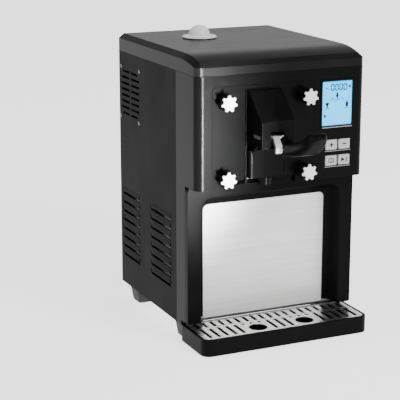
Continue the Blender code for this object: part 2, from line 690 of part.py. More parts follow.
def make_lever():
    """Bright steel draw lever, and the black S-shaped grip on its side."""
    hub_x0, hub_x1 = VALVE_X - 0.0125, VALVE_X + 0.0095
    arm0, arm1 = VALVE_X + ARM_X - ARM_W / 2, VALVE_X + ARM_X + ARM_W / 2
    lever = node("lever_arm", rod("x", PIVOT_D, PIVOT.z, 0.0055, hub_x0, hub_x1, 20), BRIGHT, origin=PIVOT)
    h = ARM_T / 2
    arm = [(PIVOT_D, PIVOT.z + 0.0045), (-0.0475, PIVOT.z + 0.0050), (-0.0520, PIVOT.z + 0.0025),
           (-0.0622, PIVOT.z - 0.0100), (-0.0622, PIVOT.z - 0.0195), (-0.0597, PIVOT.z - 0.0215),
           (-0.0572, PIVOT.z - 0.0195), (-0.0572, PIVOT.z - 0.0120), (-0.0475, PIVOT.z - 0.0010),
           (PIVOT_D, PIVOT.z - 0.0020)]
    fuse(lever, prism(arm, "x", arm0, arm1))
    tongue = [(PIVOT_D, PIVOT.z - h), (BORE_D - 0.002, PIVOT.z - h)]
    for k in range(9):
        a = math.radians(-120 + 240 * k / 8)
        tongue.append((BORE_D + 0.0038 * math.cos(a), PIVOT.z + 0.0038 * math.sin(a)))
    tongue += [(BORE_D - 0.002, PIVOT.z + h), (PIVOT_D, PIVOT.z + h)]
    fuse(lever, prism(tongue, "x", VALVE_X - 0.0025, VALVE_X + 0.0025))
    spigot_z = PIVOT.z - 0.0155
    fuse(lever, rod("x", -0.0640 + 0.0043, spigot_z, 0.0020, arm1 - 0.002, arm1 + 0.012, 12))
    cut(lever, rod("x", PIVOT_D, PIVOT.z, PIN_R + GAP, hub_x0 - 0.002, hub_x1 + 0.002, 16))

    start = -0.0555
    x0 = arm1 + 0.0012
    low = [(start, 0.0), (-0.084, 0.0035), (-0.105, 0.0080), (-0.116, 0.0110), (-0.128, 0.0187),
           (-0.1365, 0.0270), (-0.144, 0.0355), (-GRIP_REACH, 0.0400)]
    high = [(start, 0.0160), (-0.079, 0.0208), (-0.0984, 0.0272), (-0.116, 0.0344), (-0.1273, 0.0418),
            (-0.1385, 0.0468), (-0.145, 0.0466), (-GRIP_REACH, 0.0442)]
    base = PIVOT.z - 0.0255
    tip_r = GRIP_W / 2
    sections = []
    for k in range(19):
        t = k / 18
        depth = start - (GRIP_REACH + start) * math.sin(t * math.pi / 2) ** 0.9
        past = -(GRIP_REACH - tip_r) - depth
        half = tip_r if past <= 0 else math.sqrt(max(tip_r ** 2 - past ** 2, 0.0036 ** 2))
        z_low, z_high = base + along(low, depth), base + along(high, depth)
        corner = min(0.0040, (z_high - z_low) * 0.42, half * 0.6)
        middle = x0 + tip_r
        outline = rounded(middle - half, z_low, middle + half, z_high, corner, 3)
        sections.append([(a, depth, b) for a, b in outline])
    grip = node("lever_grip", lofted(sections), SATIN, origin=PIVOT, sharp=50)
    cut(grip, rod("x", -0.0640 + 0.0043, spigot_z, 0.0020 + GAP, x0 - 0.002, arm1 + 0.0126, 12))


def along(points, depth):
    """Height on an outline at a depth, between its neighbouring points."""
    for (d0, h0), (d1, h1) in zip(points, points[1:]):
        if d1 <= depth <= d0:
            return h0 + (h1 - h0) * (depth - d0) / (d1 - d0)
    return points[-1][1]


def make_knobs():
    """Star knobs on the door's four studs."""
    for name, x, z in stud_places():
        outline = []
        for k in range(42):
            a = 2 * math.pi * k / 42
            wave = 0.5 + 0.5 * math.cos(7 * a)
            outline.append((x + (KNOB_R - 0.0034 * (1 - wave)) * math.sin(a),
                            z + (KNOB_R - 0.0034 * (1 - wave)) * math.cos(a)))
        knob = node(f"star_knob_{name}", prism(outline, "y", -KNOB_L - 0.001, -0.0010), GREY,
                    origin=(x, -0.001, z), sharp=50)
        cut(knob, rod("y", x, z, STUD_R + GAP, -0.0150, 0.002, 14))
        head = BARREL_D0 + FLANGE_T + GAP
        stud = node(f"door_stud_{name}", rod("y", x, z, STUD_R, -0.0140, head + 0.001, 14), ZINC)
        fuse(stud, rod("y", x, z, 0.0055, head, head + 0.004, 6))


# ---------------------------------------------------------------- freezing cylinder and drive

def make_barrel():
    """Freezing cylinder with its flange, coil, foam and shaft seal."""
    z_low = KNOB_Z - 0.0085
    z_high = KNOB_Z + KNOB_RISE + 0.0085
    half = KNOB_X + 0.0085
    plate = rounded(DOOR_X - half, z_low, DOOR_X + half, z_high, 0.004, 2)
    barrel = node("freezing_cylinder", prism(plate, "y", BARREL_D0, BARREL_D0 + FLANGE_T), BRUSHED)
    fuse(barrel, rod("y", DOOR_X, BARREL_Z, BARREL_R + BARREL_T, BARREL_D0 + 0.001, BARREL_D1, 36))
    cut(barrel, rod("y", DOOR_X, BARREL_Z, BARREL_R, BARREL_D0 - 0.002, BARREL_D1 - BARREL_T, 36))
    cut(barrel, rod("y", DOOR_X, BARREL_Z, 0.009, BARREL_D1 - 0.010, BARREL_D1 + 0.002, 20),
        rod("z", DOOR_X, FEED_D, FEED_R + GAP, BARREL_Z + 0.020, BARREL_Z + 0.060, 16),
        *[rod("y", x, z, STUD_R + GAP, BARREL_D0 - 0.002, BARREL_D0 + 0.010, 14)
          for _, x, z in stud_places()])

    seal = [(SHAFT_R + GAP, BARREL_D1 - 0.004), (0.0087, BARREL_D1 - 0.004), (0.0087, BARREL_D1 + 0.0003),
            (0.0110, BARREL_D1 + 0.0003), (0.0110, BARREL_D1 + 0.0023), (SHAFT_R + GAP, BARREL_D1 + 0.0023)]
    node("shaft_seal", turned(seal, (DOOR_X, 0, BARREL_Z), "y", 20), RUBBER)

    start, end = BARREL_D0 + 0.016, BARREL_D1 - 0.012
    clear = 0.25 - (FEED_D - start) / (end - start) * COIL_TURNS
    curve = bpy.data.curves.new("evaporator_coil", "CURVE")
    curve.dimensions = "3D"
    curve.bevel_depth = COIL_TUBE
    curve.bevel_resolution = 1
    curve.use_fill_caps = True
    spline = curve.splines.new("POLY")
    count = COIL_SIDES * COIL_TURNS + 1
    spline.points.add(count - 1)
    for k in range(count):
        turn = k / COIL_SIDES
        a = 2 * math.pi * (turn + clear + 0.5)
        spline.points[k].co = (COIL_R * math.cos(a), (end - start) * turn / COIL_TURNS,
                               COIL_R * math.sin(a), 1.0)
    curve.materials.append(finish("evaporator_coil", *COPPER))
    coil = bpy.data.objects.new("evaporator_coil", curve)
    coil.location = (DOOR_X, start, BARREL_Z)
    coil.parent = MACHINE
    bpy.context.scene.collection.objects.link(coil)

    front, rear = start - 0.006, end + 0.008
    sleeve = [(FOAM_IN, front), (FOAM_OUT, front), (FOAM_OUT, rear), (FOAM_IN, rear)]
    foam = node("insulation_sleeve", turned(sleeve, (DOOR_X, 0, BARREL_Z), "y", 32), FOAM)
    cut(foam, rod("z", DOOR_X, FEED_D, FEED_R + GAP, BARREL_Z + 0.030, BARREL_Z + 0.070, 16))


def make_beater():
    """Beater: a shaft with spokes that carry two scraping helices."""
    z, x = BARREL_Z, DOOR_X
    d0, d1 = BARREL_D0 + 0.010, BARREL_D1 - 0.010
    tail = GEAR_D + GEAR_T + 0.003
    beater = node("beater", rod("y", x, z, SHAFT_R, d0 - 0.002, tail, 20), BRIGHT, origin=(x, d0, z))
    steps = 20
    outer, inner, thick = BARREL_R - 0.0012, BARREL_R - 0.0080, 0.0036
    for start_turn in (0.0, 0.5):
        sections = []
        for k in range(steps + 1):
            a = 2 * math.pi * (start_turn + 0.75 * k / steps)
            d = d0 + thick + (d1 - d0 - 2 * thick) * k / steps
            direction = Vector((math.cos(a), 0, math.sin(a)))
            side = Vector((-math.sin(a), 0, math.cos(a))) * thick / 2
            centre = Vector((x, d, z))
            sections.append([centre + direction * outer - side, centre + direction * outer + side,
                             centre + direction * inner + side, centre + direction * inner - side])
        fuse(beater, lofted(sections))
    for share in (0.03, 0.5, 0.97):
        a = 2 * math.pi * 0.75 * share
        d = d0 + thick + (d1 - d0 - 2 * thick) * share
        spoke = rod("x", 0, 0, 0.0030, -(inner + 0.003), inner + 0.003, 10)
        bmesh.ops.rotate(spoke, verts=spoke.verts, matrix=Matrix.Rotation(-a, 3, "Y"))
        bmesh.ops.translate(spoke, verts=spoke.verts, vec=(x, d, z))
        fuse(beater, spoke)


def gear_outline(x, z, teeth, turn):
    """Outline of a spur gear with straight flanks and generous backlash."""
    pitch = 2 * math.pi / teeth
    r = MODULE * teeth / 2
    points = []
    for k in range(teeth):
        a = turn + k * pitch
        for shift, reach in ((-0.31, -1.20), (-0.13, 0.85), (0.13, 0.85), (0.31, -1.20)):
            radius = r + reach * MODULE
            place = a + shift * pitch
            points.append((x + radius * math.cos(place), z + radius * math.sin(place)))
    return points


def make_drive():
    """Gear pair in its case, and the motor whose rotor carries the pinion."""
    gear = node("drive_gear", prism(gear_outline(DOOR_X, BARREL_Z, GEAR_TEETH, math.pi / GEAR_TEETH), "y",
                                    GEAR_D, GEAR_D + GEAR_T), CASTING, origin=(DOOR_X, GEAR_D, BARREL_Z))
    cut(gear, rod("y", DOOR_X, BARREL_Z, SHAFT_R + GAP, GEAR_D - 0.002, GEAR_D + GEAR_T + 0.002, 20))

    plate_d = GEAR_D + GEAR_T + 0.005
    x0, x1 = DOOR_X - GEAR_R - 0.006, MOTOR_X + PINION_R + 0.010
    z0, z1 = BARREL_Z - GEAR_R - 0.006, BARREL_Z + GEAR_R + 0.006
    case_d = GEAR_D - 0.006
    case = node("gear_case", prism(rounded(x0, z0, x1, z1, 0.008, 2), "y", case_d, plate_d - GAP), CASTING)
    cut(case, prism(rounded(x0 + WALL, z0 + WALL, x1 - WALL, z1 - WALL, 0.006, 2), "y",
                    case_d + WALL, plate_d + 0.002))
    cut(case, rod("y", DOOR_X, BARREL_Z, SHAFT_R + GAP, case_d - 0.002, case_d + 0.006, 20))

    motor_r = 0.030
    motor_end = plate_d + 0.066
    plate = prism(rounded(x0, z0, x1, z1, 0.008, 2), "y", plate_d, plate_d + 0.003)
    motor = node("motor_case", plate, ZINC)
    fuse(motor, rod("y", MOTOR_X, BARREL_Z, motor_r, plate_d + 0.001, motor_end, 28))
    cut(motor, rod("y", MOTOR_X, BARREL_Z, motor_r - 0.003, plate_d + 0.006, motor_end - 0.003, 28))
    cut(motor, rod("y", MOTOR_X, BARREL_Z, 0.0030 + GAP, plate_d - 0.002, plate_d + 0.008, 16))

    rotor = node("motor_rotor", prism(gear_outline(MOTOR_X, BARREL_Z, PINION_TEETH, 0.0), "y",
                                      GEAR_D, GEAR_D + GEAR_T), ZINC, origin=(MOTOR_X, GEAR_D, BARREL_Z))
    fuse(rotor, rod("y", MOTOR_X, BARREL_Z, 0.0030, GEAR_D + 0.001, motor_end - 0.008, 16))
    fuse(rotor, rod("y", MOTOR_X, BARREL_Z, 0.0210, plate_d + 0.012, motor_end - 0.012, 20))


# ---------------------------------------------------------------- hopper

def make_hopper():
    """Closed mix tank with its neck, the tube down to the cylinder, and the domed lid."""
    x_mid = DOOR_X + 0.001
    top = BODY_H - WALL - 0.0035
    low = BARREL_Z + FOAM_OUT + HOPPER_LIFT
    back = BODY_D - HOPPER_BACK
    x0, x1 = x_mid - HOPPER_W / 2, x_mid + HOPPER_W / 2
    outside = rounded(x0, HOPPER_D, x1, back, 0.014, 3)
    tank = node("hopper_tank", prism(outside, "z", low, top), BRUSHED)
    neck_top = BODY_H + 0.0005
    t = TANK_T
    fuse(tank, rod("z", NECK_X, NECK_D, NECK_R + t, top - 0.001, neck_top, 28))
    inside = rounded(x0 + t, HOPPER_D + t, x1 - t, back - t, 0.014 - t, 3)
    cut(tank, prism(inside, "z", low + t, top - t))
    cut(tank, rod("z", NECK_X, NECK_D, NECK_R, top - 0.006, neck_top + 0.002, 28),
        rod("z", DOOR_X, FEED_D, FEED_R + GAP, low - 0.002, low + 0.006, 16))

    bottom = BARREL_Z + BARREL_R + 0.0002
    seat = low + t + 2 * GAP
    bore, rim, lip = FEED_R * 0.7, FEED_R * 1.5, seat + 0.0018
    tube = [(bore, bottom), (FEED_R, bottom), (FEED_R, low - GAP), (FEED_R, seat), (rim, seat),
            (rim, lip), (bore, lip)]
    node("mix_feed_tube", turned(tube, (DOOR_X, FEED_D, 0), "z", 16), BRIGHT)

    z = neck_top + GAP
    dome = [(0.0, z - 0.010), (NECK_R - SLIP, z - 0.010), (NECK_R - SLIP, z), (LID_R, z),
            (LID_R, z + 0.0018), (LID_R - 0.0015, z + 0.0032), (DOME_R + 0.003, z + 0.0040)]
    for k in range(6):
        a = math.radians(90 * k / 5)
        dome.append((DOME_R * math.cos(a), z + 0.0040 + DOME_H * math.sin(a)))
    lid = turned(dome, (NECK_X, NECK_D, 0), "z", 28)
    node("hopper_lid", lid, MILKY, origin=(NECK_X, NECK_D, z), sharp=40)


# ---------------------------------------------------------------- refrigeration

def make_cold_set():
    """Compressor pot, condenser block and filter drier."""
    z0 = LEG_H + GAP + STEEL + GAP
    pot = [(0.0, z0), (POT_R + 0.007, z0), (POT_R + 0.007, z0 + 0.004), (POT_R, z0 + 0.006)]
    shoulder = POT_H - 0.030
    pot.append((POT_R, z0 + shoulder))
    for k in range(1, 5):
        a = math.radians(90 * k / 4)
        pot.append((max(0.0, (POT_R - 0.006) * math.cos(a)), z0 + shoulder + 0.004 + 0.026 * math.sin(a)))
    node("compressor", turned(pot, (POT_X, POT_D, 0), "z", 28), PAINT)

    x0, x1 = -HALF + 0.012, -HALF + 0.036
    fins, gap = 14, 0.006
    near = 0.096
    pitch = 0.0135
    outline = [(x0, near)]
    for k in range(fins):
        d = near + k * pitch
        outline += [(x1, d), (x1, d + pitch - gap)]
        if k < fins - 1:
            outline += [(x0 + 0.006, d + pitch - gap), (x0 + 0.006, d + pitch)]
    outline.append((x0, near + fins * pitch - gap))
    node("condenser", prism(outline, "z", z0 + 0.006, 0.196), ZINC)

    drier = [(0.0, 0.0), (0.003, 0.0), (0.003, 0.008), (0.010, 0.014), (0.010, 0.066), (0.003, 0.072),
             (0.003, 0.080), (0.0, 0.080)]
    node("filter_drier", turned(drier, (-0.030, 0.150, z0 + 0.0105), "y", 16), COPPER)


def make_fan():
    """Fan behind the upper grille: frame with its motor hub, and the bladed rotor."""
    x0 = -HALF + STEEL + GAP
    half = FAN_SIZE / 2
    frame = node("fan_shroud", prism(rounded(FAN_D - half, FAN_Z - half, FAN_D + half, FAN_Z + half,
                                             0.006, 2), "x", x0, x0 + FAN_T), SATIN)
    cut(frame, rod("x", FAN_D, FAN_Z, half - 0.0035, x0 - 0.002, x0 + FAN_T + 0.002, 32))
    face = x0 + FAN_T
    fuse(frame, rod("x", FAN_D, FAN_Z, 0.018, face - 0.004, face, 24))
    for sign in (-1, 1):
        arm = rod("y", face - 0.002, FAN_Z, 0.0018, FAN_D + sign * 0.016, FAN_D + sign * (half - 0.002), 8)
        fuse(frame, arm)
        post = rod("z", face - 0.002, FAN_D, 0.0018, FAN_Z + sign * 0.016, FAN_Z + sign * (half - 0.002), 8)
        fuse(frame, post)
    hub = x0 + 0.003
    rotor = node("fan_rotor", rod("x", FAN_D, FAN_Z, 0.0175, hub, face - 0.0045, 24), SATIN,
                 origin=(hub, FAN_D, FAN_Z))
    blades = 7
    for k in range(blades):
        a = 2 * math.pi * k / blades
        sections = []
        for reach, twist in ((0.0155, 34), (0.0390, 22)):
            chord = 0.0045 + reach * 0.20
            lean = math.radians(twist)
            middle = Vector((hub + 0.0085, 0, 0))
            edge = Vector((math.sin(lean), math.cos(lean), 0)) * chord
            skin = Vector((math.cos(lean), -math.sin(lean), 0)) * 0.0009
            sections.append([middle + sign_a * edge + sign_b * skin + Vector((0, 0, reach))
                             for sign_a, sign_b in ((-1, -1), (1, -1), (1, 1), (-1, 1))])
        blade = lofted(sections)
        bmesh.ops.rotate(blade, verts=blade.verts, matrix=Matrix.Rotation(a, 3, "X"))
        bmesh.ops.translate(blade, verts=blade.verts, vec=(0, FAN_D, FAN_Z))
        fuse(rotor, blade)


# ---------------------------------------------------------------- display, keys and supply

def make_display():
    """Display glass in its bezel, four keys and the control board behind them."""
    w, h = LCD_W / 2, LCD_H / 2
    outside = rounded(LCD_X - w - 0.0030, LCD_MID_Z - h - 0.0035, LCD_X + w + 0.0030,
                      LCD_MID_Z + h + 0.0030, 0.0037)
    bezel = node("display_bezel", prism(outside, "y", -0.0006, 0.0060), GLOSS)
    cut(bezel, prism(rounded(LCD_X - w, LCD_MID_Z - h, LCD_X + w, LCD_MID_Z + h, 0.0020, 2), "y",
                     -0.003, 0.009))
    node("display_module", prism(rounded(LCD_X - w + GAP, LCD_MID_Z - h + GAP, LCD_X + w - GAP,
                                         LCD_MID_Z + h - GAP, 0.0018, 2), "y", 0.0008, 0.0056), SCREEN)
    key_x = HALF - KEY_RIGHT
    names = (("key_menu", 0, 0), ("key_start", 1, 0), ("key_plus", 0, 1), ("key_minus", 1, 1))
    for name, column, row in names:
        x = key_x + (column - 1) * KEY_PITCH_X
        z = HEAD_Z + KEY_Z + row * KEY_PITCH_Z
        cap = rounded(x - KEY_W / 2, z - KEY_H / 2, x + KEY_W / 2, z + KEY_H / 2, 0.0010, 2)
        small = rounded(x - KEY_W / 2 + 0.0006, z - KEY_H / 2 + 0.0006, x + KEY_W / 2 - 0.0006,
                        z + KEY_H / 2 - 0.0006, 0.0008, 2)
        sections = [[(a, -KEY_PROUD, b) for a, b in small], [(a, -KEY_PROUD + 0.0006, b) for a, b in cap],
                    [(a, 0.0070, b) for a, b in cap]]
        node(name, lofted(sections), GREY, origin=(x, 0.0, z))
    low, high = HEAD_Z + 0.010, LCD_MID_Z + h + 0.006
    node("control_board", box((LCD_X - w - 0.006, 0.0070 + KEY_TRAVEL + 0.0015, low),
                              (HALF - WALL - 0.004, 0.0070 + KEY_TRAVEL + 0.0031, high)), BOARD)


def make_supply():
    """Mains inlet and rocker switch in the rear panel."""
    face = BODY_D + INLET_PROUD
    inlet = node("power_inlet", prism(rounded(INLET_X - 0.0170, INLET_Z - 0.0135, INLET_X + 0.0170,
                                              INLET_Z + 0.0135, 0.003, 2), "y", BODY_D + GAP, face), SATIN)
    fuse(inlet, box((INLET_X - 0.0140, BODY_D - 0.020, INLET_Z - 0.0105),
                    (INLET_X + 0.0140, BODY_D + 0.001, INLET_Z + 0.0105)))
    cut(inlet, prism(rounded(INLET_X - 0.0120, INLET_Z - 0.0085, INLET_X + 0.0120, INLET_Z + 0.0085,
                             (0.001, 0.001, 0.005, 0.005), 2), "y", BODY_D - 0.015, face + 0.002))
    for x, z in ((-0.0070, -0.0020), (0.0, 0.0020), (0.0070, -0.0020)):
        fuse(inlet, box((INLET_X + x - 0.0010, BODY_D - 0.016, INLET_Z + z - 0.0020),
                        (INLET_X + x + 0.0010, BODY_D - 0.003, INLET_Z + z + 0.0020)))
    frame = node("switch_housing", prism(rounded(INLET_X - 0.0130, SWITCH_Z - 0.0095, INLET_X + 0.0130,
                                                 SWITCH_Z + 0.0095, 0.002, 2), "y", BODY_D + GAP,
                                         face - 0.0002), SATIN)
    fuse(frame, box((INLET_X - 0.0105, BODY_D - 0.016, SWITCH_Z - 0.0070),
                    (INLET_X + 0.0105, BODY_D + 0.001, SWITCH_Z + 0.0070)))
    cut(frame, box((INLET_X - 0.0090, BODY_D - 0.0135, SWITCH_Z - 0.0055),
                   (INLET_X + 0.0090, face + 0.002, SWITCH_Z + 0.0055)))
    pivot_d = BODY_D - 0.0060
    tilt = math.radians(8)
    shape = [(-0.0080, 0.0), (-0.0045, -0.0050), (0.0045, -0.0050), (0.0080, 0.0), (0.0080, 0.0050),
             (0.0, 0.0038), (-0.0080, 0.0050)]
    points = []
    for a, b in shape:
        points.append((INLET_X + a * math.cos(tilt) + b * math.sin(tilt),
                       pivot_d - a * math.sin(tilt) + b * math.cos(tilt)))
    node("rocker_switch", prism(points, "z", SWITCH_Z - 0.0050, SWITCH_Z + 0.0050), SATIN,
         origin=(INLET_X, pivot_d, SWITCH_Z))


clear_scene()
MACHINE = bpy.data.objects.new("machine", None)
MACHINE.location = (0.0, FRONT, 0.0)
bpy.context.scene.collection.objects.link(MACHINE)

make_base()
make_sides()
make_rear()
make_top()
make_front_housing()
make_lower_frame()
make_tray()
make_door()
make_valve()
make_hood()
make_lever()
make_knobs()
make_barrel()
make_beater()
make_drive()
make_hopper()
make_cold_set()
make_fan()
make_display()
make_supply()
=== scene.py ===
"""Detailed pieces and finishes of a countertop soft serve machine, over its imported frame."""
import json
import math

import bmesh
import bpy
from bpy.props import (BoolProperty, FloatProperty, FloatVectorProperty, IntProperty, PointerProperty,
                       StringProperty)
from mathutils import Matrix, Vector

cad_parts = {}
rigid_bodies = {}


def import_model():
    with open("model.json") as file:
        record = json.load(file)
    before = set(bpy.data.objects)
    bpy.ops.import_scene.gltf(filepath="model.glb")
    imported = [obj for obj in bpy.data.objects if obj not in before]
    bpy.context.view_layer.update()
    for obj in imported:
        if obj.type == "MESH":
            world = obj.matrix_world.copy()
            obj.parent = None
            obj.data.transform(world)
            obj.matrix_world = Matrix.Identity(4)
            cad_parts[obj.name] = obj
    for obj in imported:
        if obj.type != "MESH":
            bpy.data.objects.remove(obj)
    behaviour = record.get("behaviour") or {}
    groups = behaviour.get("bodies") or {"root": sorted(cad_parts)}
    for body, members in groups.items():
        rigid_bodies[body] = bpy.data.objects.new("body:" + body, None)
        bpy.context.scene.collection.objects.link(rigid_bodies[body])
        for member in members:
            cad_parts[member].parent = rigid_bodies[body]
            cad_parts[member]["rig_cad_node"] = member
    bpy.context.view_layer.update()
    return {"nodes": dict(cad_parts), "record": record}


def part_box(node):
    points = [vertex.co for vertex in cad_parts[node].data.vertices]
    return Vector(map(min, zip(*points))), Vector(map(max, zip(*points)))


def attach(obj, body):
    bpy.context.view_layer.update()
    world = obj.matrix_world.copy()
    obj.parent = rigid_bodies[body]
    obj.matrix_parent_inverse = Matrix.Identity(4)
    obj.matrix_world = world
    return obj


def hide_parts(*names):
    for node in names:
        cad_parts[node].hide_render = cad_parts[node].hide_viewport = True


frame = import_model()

bl_info = {
    "name": "Soft Serve Machine",
    "version": (1, 0, 0),
    "blender": (4, 5, 0),
    "location": "View3D > Sidebar > Soft Serve",
    "description": "Builds the covers, head, lever, knobs, display and tray of a soft serve machine",
    "category": "Add Mesh",
}

NODES = frame["nodes"]
BODY_OF = {node: body for body, members in frame["record"]["behaviour"]["bodies"].items()
           for node in members}
SLOT_OF = {part["node"]: part["material_slot"] for part in frame["record"]["subparts"]}


# ---------------------------------------------------------------- places taken from the frame

def low(node):
    """Lowest corner of a frame node."""
    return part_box(node)[0]


def high(node):
    """Highest corner of a frame node."""
    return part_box(node)[1]


def middle(node):
    """Middle of a frame node's box."""
    return (low(node) + high(node)) / 2


FACE = low("front_housing").y            # plane of the fascia
SIDE = high("side_panel_right").x        # outer face of the side panels
BACK = high("rear_panel").y              # outer face of the rear panel

LOUVRE_ROWS = 8                          # slots in each bank of the side panels
LOUVRE_Z = 0.0765
LOUVRE_PITCH = 0.0150
LOUVRE_H = 0.0045
LOUVRE_BANKS = ((FACE + 0.0975, FACE + 0.1725), (FACE + 0.2245, FACE + 0.2915))
LIP_CURL = ((0.0012, 0.0006), (0.0012, 0.0014), (0.0010, 0.0022), (0.0005, 0.0024), (0.0002, 0.0020))
FAN_SCREWS = ((FACE + 0.2958, 0.392), (FACE + 0.2180, 0.393),
              (FACE + 0.2990, 0.310), (FACE + 0.2210, 0.310))


# ---------------------------------------------------------------- shader values as expressions

class Value:
    """One socket of a finish's node tree, with the usual operators as Math nodes."""

    def __init__(self, finish, socket):
        self.finish = finish
        self.socket = socket

    def maths(self, operation, *values):
        """A Math node over these values."""
        return self.finish.add("Math", {"operation": operation}, values)

    def __add__(self, other):
        return self.maths("ADD", self, other)

    def __radd__(self, other):
        return self.maths("ADD", other, self)

    def __sub__(self, other):
        return self.maths("SUBTRACT", self, other)

    def __rsub__(self, other):
        return self.maths("SUBTRACT", other, self)

    def __mul__(self, other):
        return self.maths("MULTIPLY", self, other)

    def __rmul__(self, other):
        return self.maths("MULTIPLY", other, self)

    def __truediv__(self, other):
        return self.maths("DIVIDE", self, other)

    def __rtruediv__(self, other):
        return self.maths("DIVIDE", other, self)

    def __pow__(self, other):
        return self.maths("POWER", self, other)

    def __neg__(self):
        return self.maths("MULTIPLY", self, -1.0)

    def __abs__(self):
        return self.maths("ABSOLUTE", self)

    def __gt__(self, other):
        return self.maths("GREATER_THAN", self, other)

    def __lt__(self, other):
        return self.maths("LESS_THAN", self, other)

    def wave(self):
        """Sine of the value, from 0 to 1."""
        return self.maths("SINE", self) * 0.5 + 0.5

    def step(self, start, end):
        """Smooth step from 0 at start to 1 at end."""
        return self.finish.add("MapRange", {"interpolation_type": "SMOOTHSTEP"},
                               {"Value": self, "From Min": start, "From Max": end})

    def most(self, other):
        return self.maths("MAXIMUM", self, other)


class Finish:
    """A material on the Principled shader, made of sockets that are set and values that are fed."""

    def __init__(self, name, colour, roughness, metallic=0.0, **fixed):
        self.material = bpy.data.materials.new(name)
        self.material.use_nodes = True
        self.tree = self.material.node_tree
        self.shader = self.tree.nodes["Principled BSDF"]
        self.colour = (*colour[:3], 1.0)
        self.roughness = roughness
        self.shader.inputs["Base Color"].default_value = self.colour
        self.shader.inputs["Roughness"].default_value = roughness
        self.shader.inputs["Metallic"].default_value = metallic
        for label, value in fixed.items():
            self.shader.inputs[label.replace("_", " ")].default_value = value
        self.material.diffuse_color = self.colour

    def add(self, kind, settings=None, values=(), out=0):
        """Adds a node: its type, then its settings, then its values or links by place or by name."""
        node = self.tree.nodes.new("ShaderNode" + kind)
        for label, setting in (settings or {}).items():
            setattr(node, label, setting)
        pairs = values.items() if isinstance(values, dict) else enumerate(values)
        for key, value in pairs:
            self.join(value, node.inputs[key])
        return Value(self, node.outputs[out])

    def join(self, value, socket):
        """Links a value to a socket, or sets the socket to a number or a colour."""
        if isinstance(value, Value):
            self.tree.links.new(value.socket, socket)
        elif socket.type == "RGBA":
            socket.default_value = (*tuple(value)[:3], 1.0)
        else:
            socket.default_value = value

    def place(self, stretch=(1.0, 1.0, 1.0), centre=(0.0, 0.0, 0.0)):
        """Object coordinates in metres, measured from a centre and stretched along each axis."""
        spot = self.add("TexCoord", None, (), "Object")
        moved = self.add("VectorMath", {"operation": "SUBTRACT"}, (spot, centre))
        return self.add("VectorMath", {"operation": "MULTIPLY"}, (moved, stretch))

    def axis(self, which, centre=(0.0, 0.0, 0.0)):
        """One axis of the object coordinates."""
        return self.add("SeparateXYZ", None, (self.place(centre=centre),), which)

    def facing(self, which):
        """One axis of the surface's normal."""
        normal = self.add("NewGeometry", None, (), "Normal")
        return self.add("SeparateXYZ", None, (normal,), which)

    def noise(self, scale, detail=3.0, rough=0.5, stretch=(1.0, 1.0, 1.0)):
        """Fractal noise with this many cells to the metre."""
        return self.add("TexNoise", {"noise_dimensions": "3D"},
                        {"Vector": self.place(stretch), "Scale": scale, "Detail": detail,
                         "Roughness": rough})

    def cells(self, scale, feature="F1", out="Distance", stretch=(1.0, 1.0, 1.0)):
        """Voronoi cells with this many to the metre."""
        return self.add("TexVoronoi", {"feature": feature},
                        {"Vector": self.place(stretch), "Scale": scale}, out)

    def blend(self, share, first, second, mode="MIX"):
        """A colour between two colours."""
        return self.add("Mix", {"data_type": "RGBA", "blend_type": mode, "clamp_factor": True},
                        {0: share, 6: first, 7: second}, 2)

    def tint(self, share, second):
        """The finish's own colour, leaning to a second one."""
        return self.blend(share, self.colour, second)

    def feed(self, label, value):
        """Feeds one of the shader's sockets."""
        self.join(value, self.shader.inputs[label])
        return self

    def relief(self, height, depth, strength=1.0):
        """Feeds the shader's normal with a bump of this height field and depth in metres."""
        bump = self.add("Bump", None, {"Strength": strength, "Distance": depth, "Height": height},
                        "Normal")
        self.join(bump, self.shader.inputs["Normal"])
        return self


# ---------------------------------------------------------------- finishes

def powder_coat(look):
    """Satin charcoal powder coat on steel: orange peel, faint mottling and dust on upward faces."""
    coat = Finish("powder_coat", look.cabinet_colour, 0.42)
    coat.shader.inputs["IOR"].default_value = look.paint_shine
    peel = coat.noise(620.0, 2.0) * 0.7 + coat.noise(1900.0, 2.0, 0.6) * 0.3
    mottle = coat.noise(11.0, 4.0, 0.6).step(0.35, 0.75)
    dust = coat.noise(70.0, 5.0, 0.65).step(0.45, 0.8) * coat.facing(2).step(0.6, 1.0)
    coat.feed("Base Color", coat.tint(mottle * 0.05 + dust * 0.05, (0.10, 0.10, 0.103)))
    coat.feed("Roughness", coat.noise(26.0, 3.0) * 0.10 + coat.roughness - 0.04 + dust * 0.08)
    return coat.relief(peel, look.texture_depth, 0.55)


def cover_paint(look):
    """Smoother charcoal paint of the top cover, with dust and hairline marks from wiping."""
    coat = Finish("cover_paint", look.cover_colour, 0.32)
    coat.shader.inputs["IOR"].default_value = look.paint_shine + 0.07
    peel = coat.noise(520.0, 2.0)
    wipe = coat.noise(9.0, 6.0, 0.7, (1.0, 14.0, 1.0)).step(0.48, 0.72)
    dust = coat.noise(140.0, 5.0, 0.7).step(0.5, 0.85) * coat.facing(2).step(0.7, 1.0)
    coat.feed("Base Color", coat.tint(wipe * 0.03 + dust * 0.04, (0.12, 0.12, 0.123)))
    coat.feed("Roughness", wipe * 0.07 + dust * 0.10 + (coat.roughness - 0.03))
    return coat.relief(peel, look.texture_depth * 0.6, 0.35)


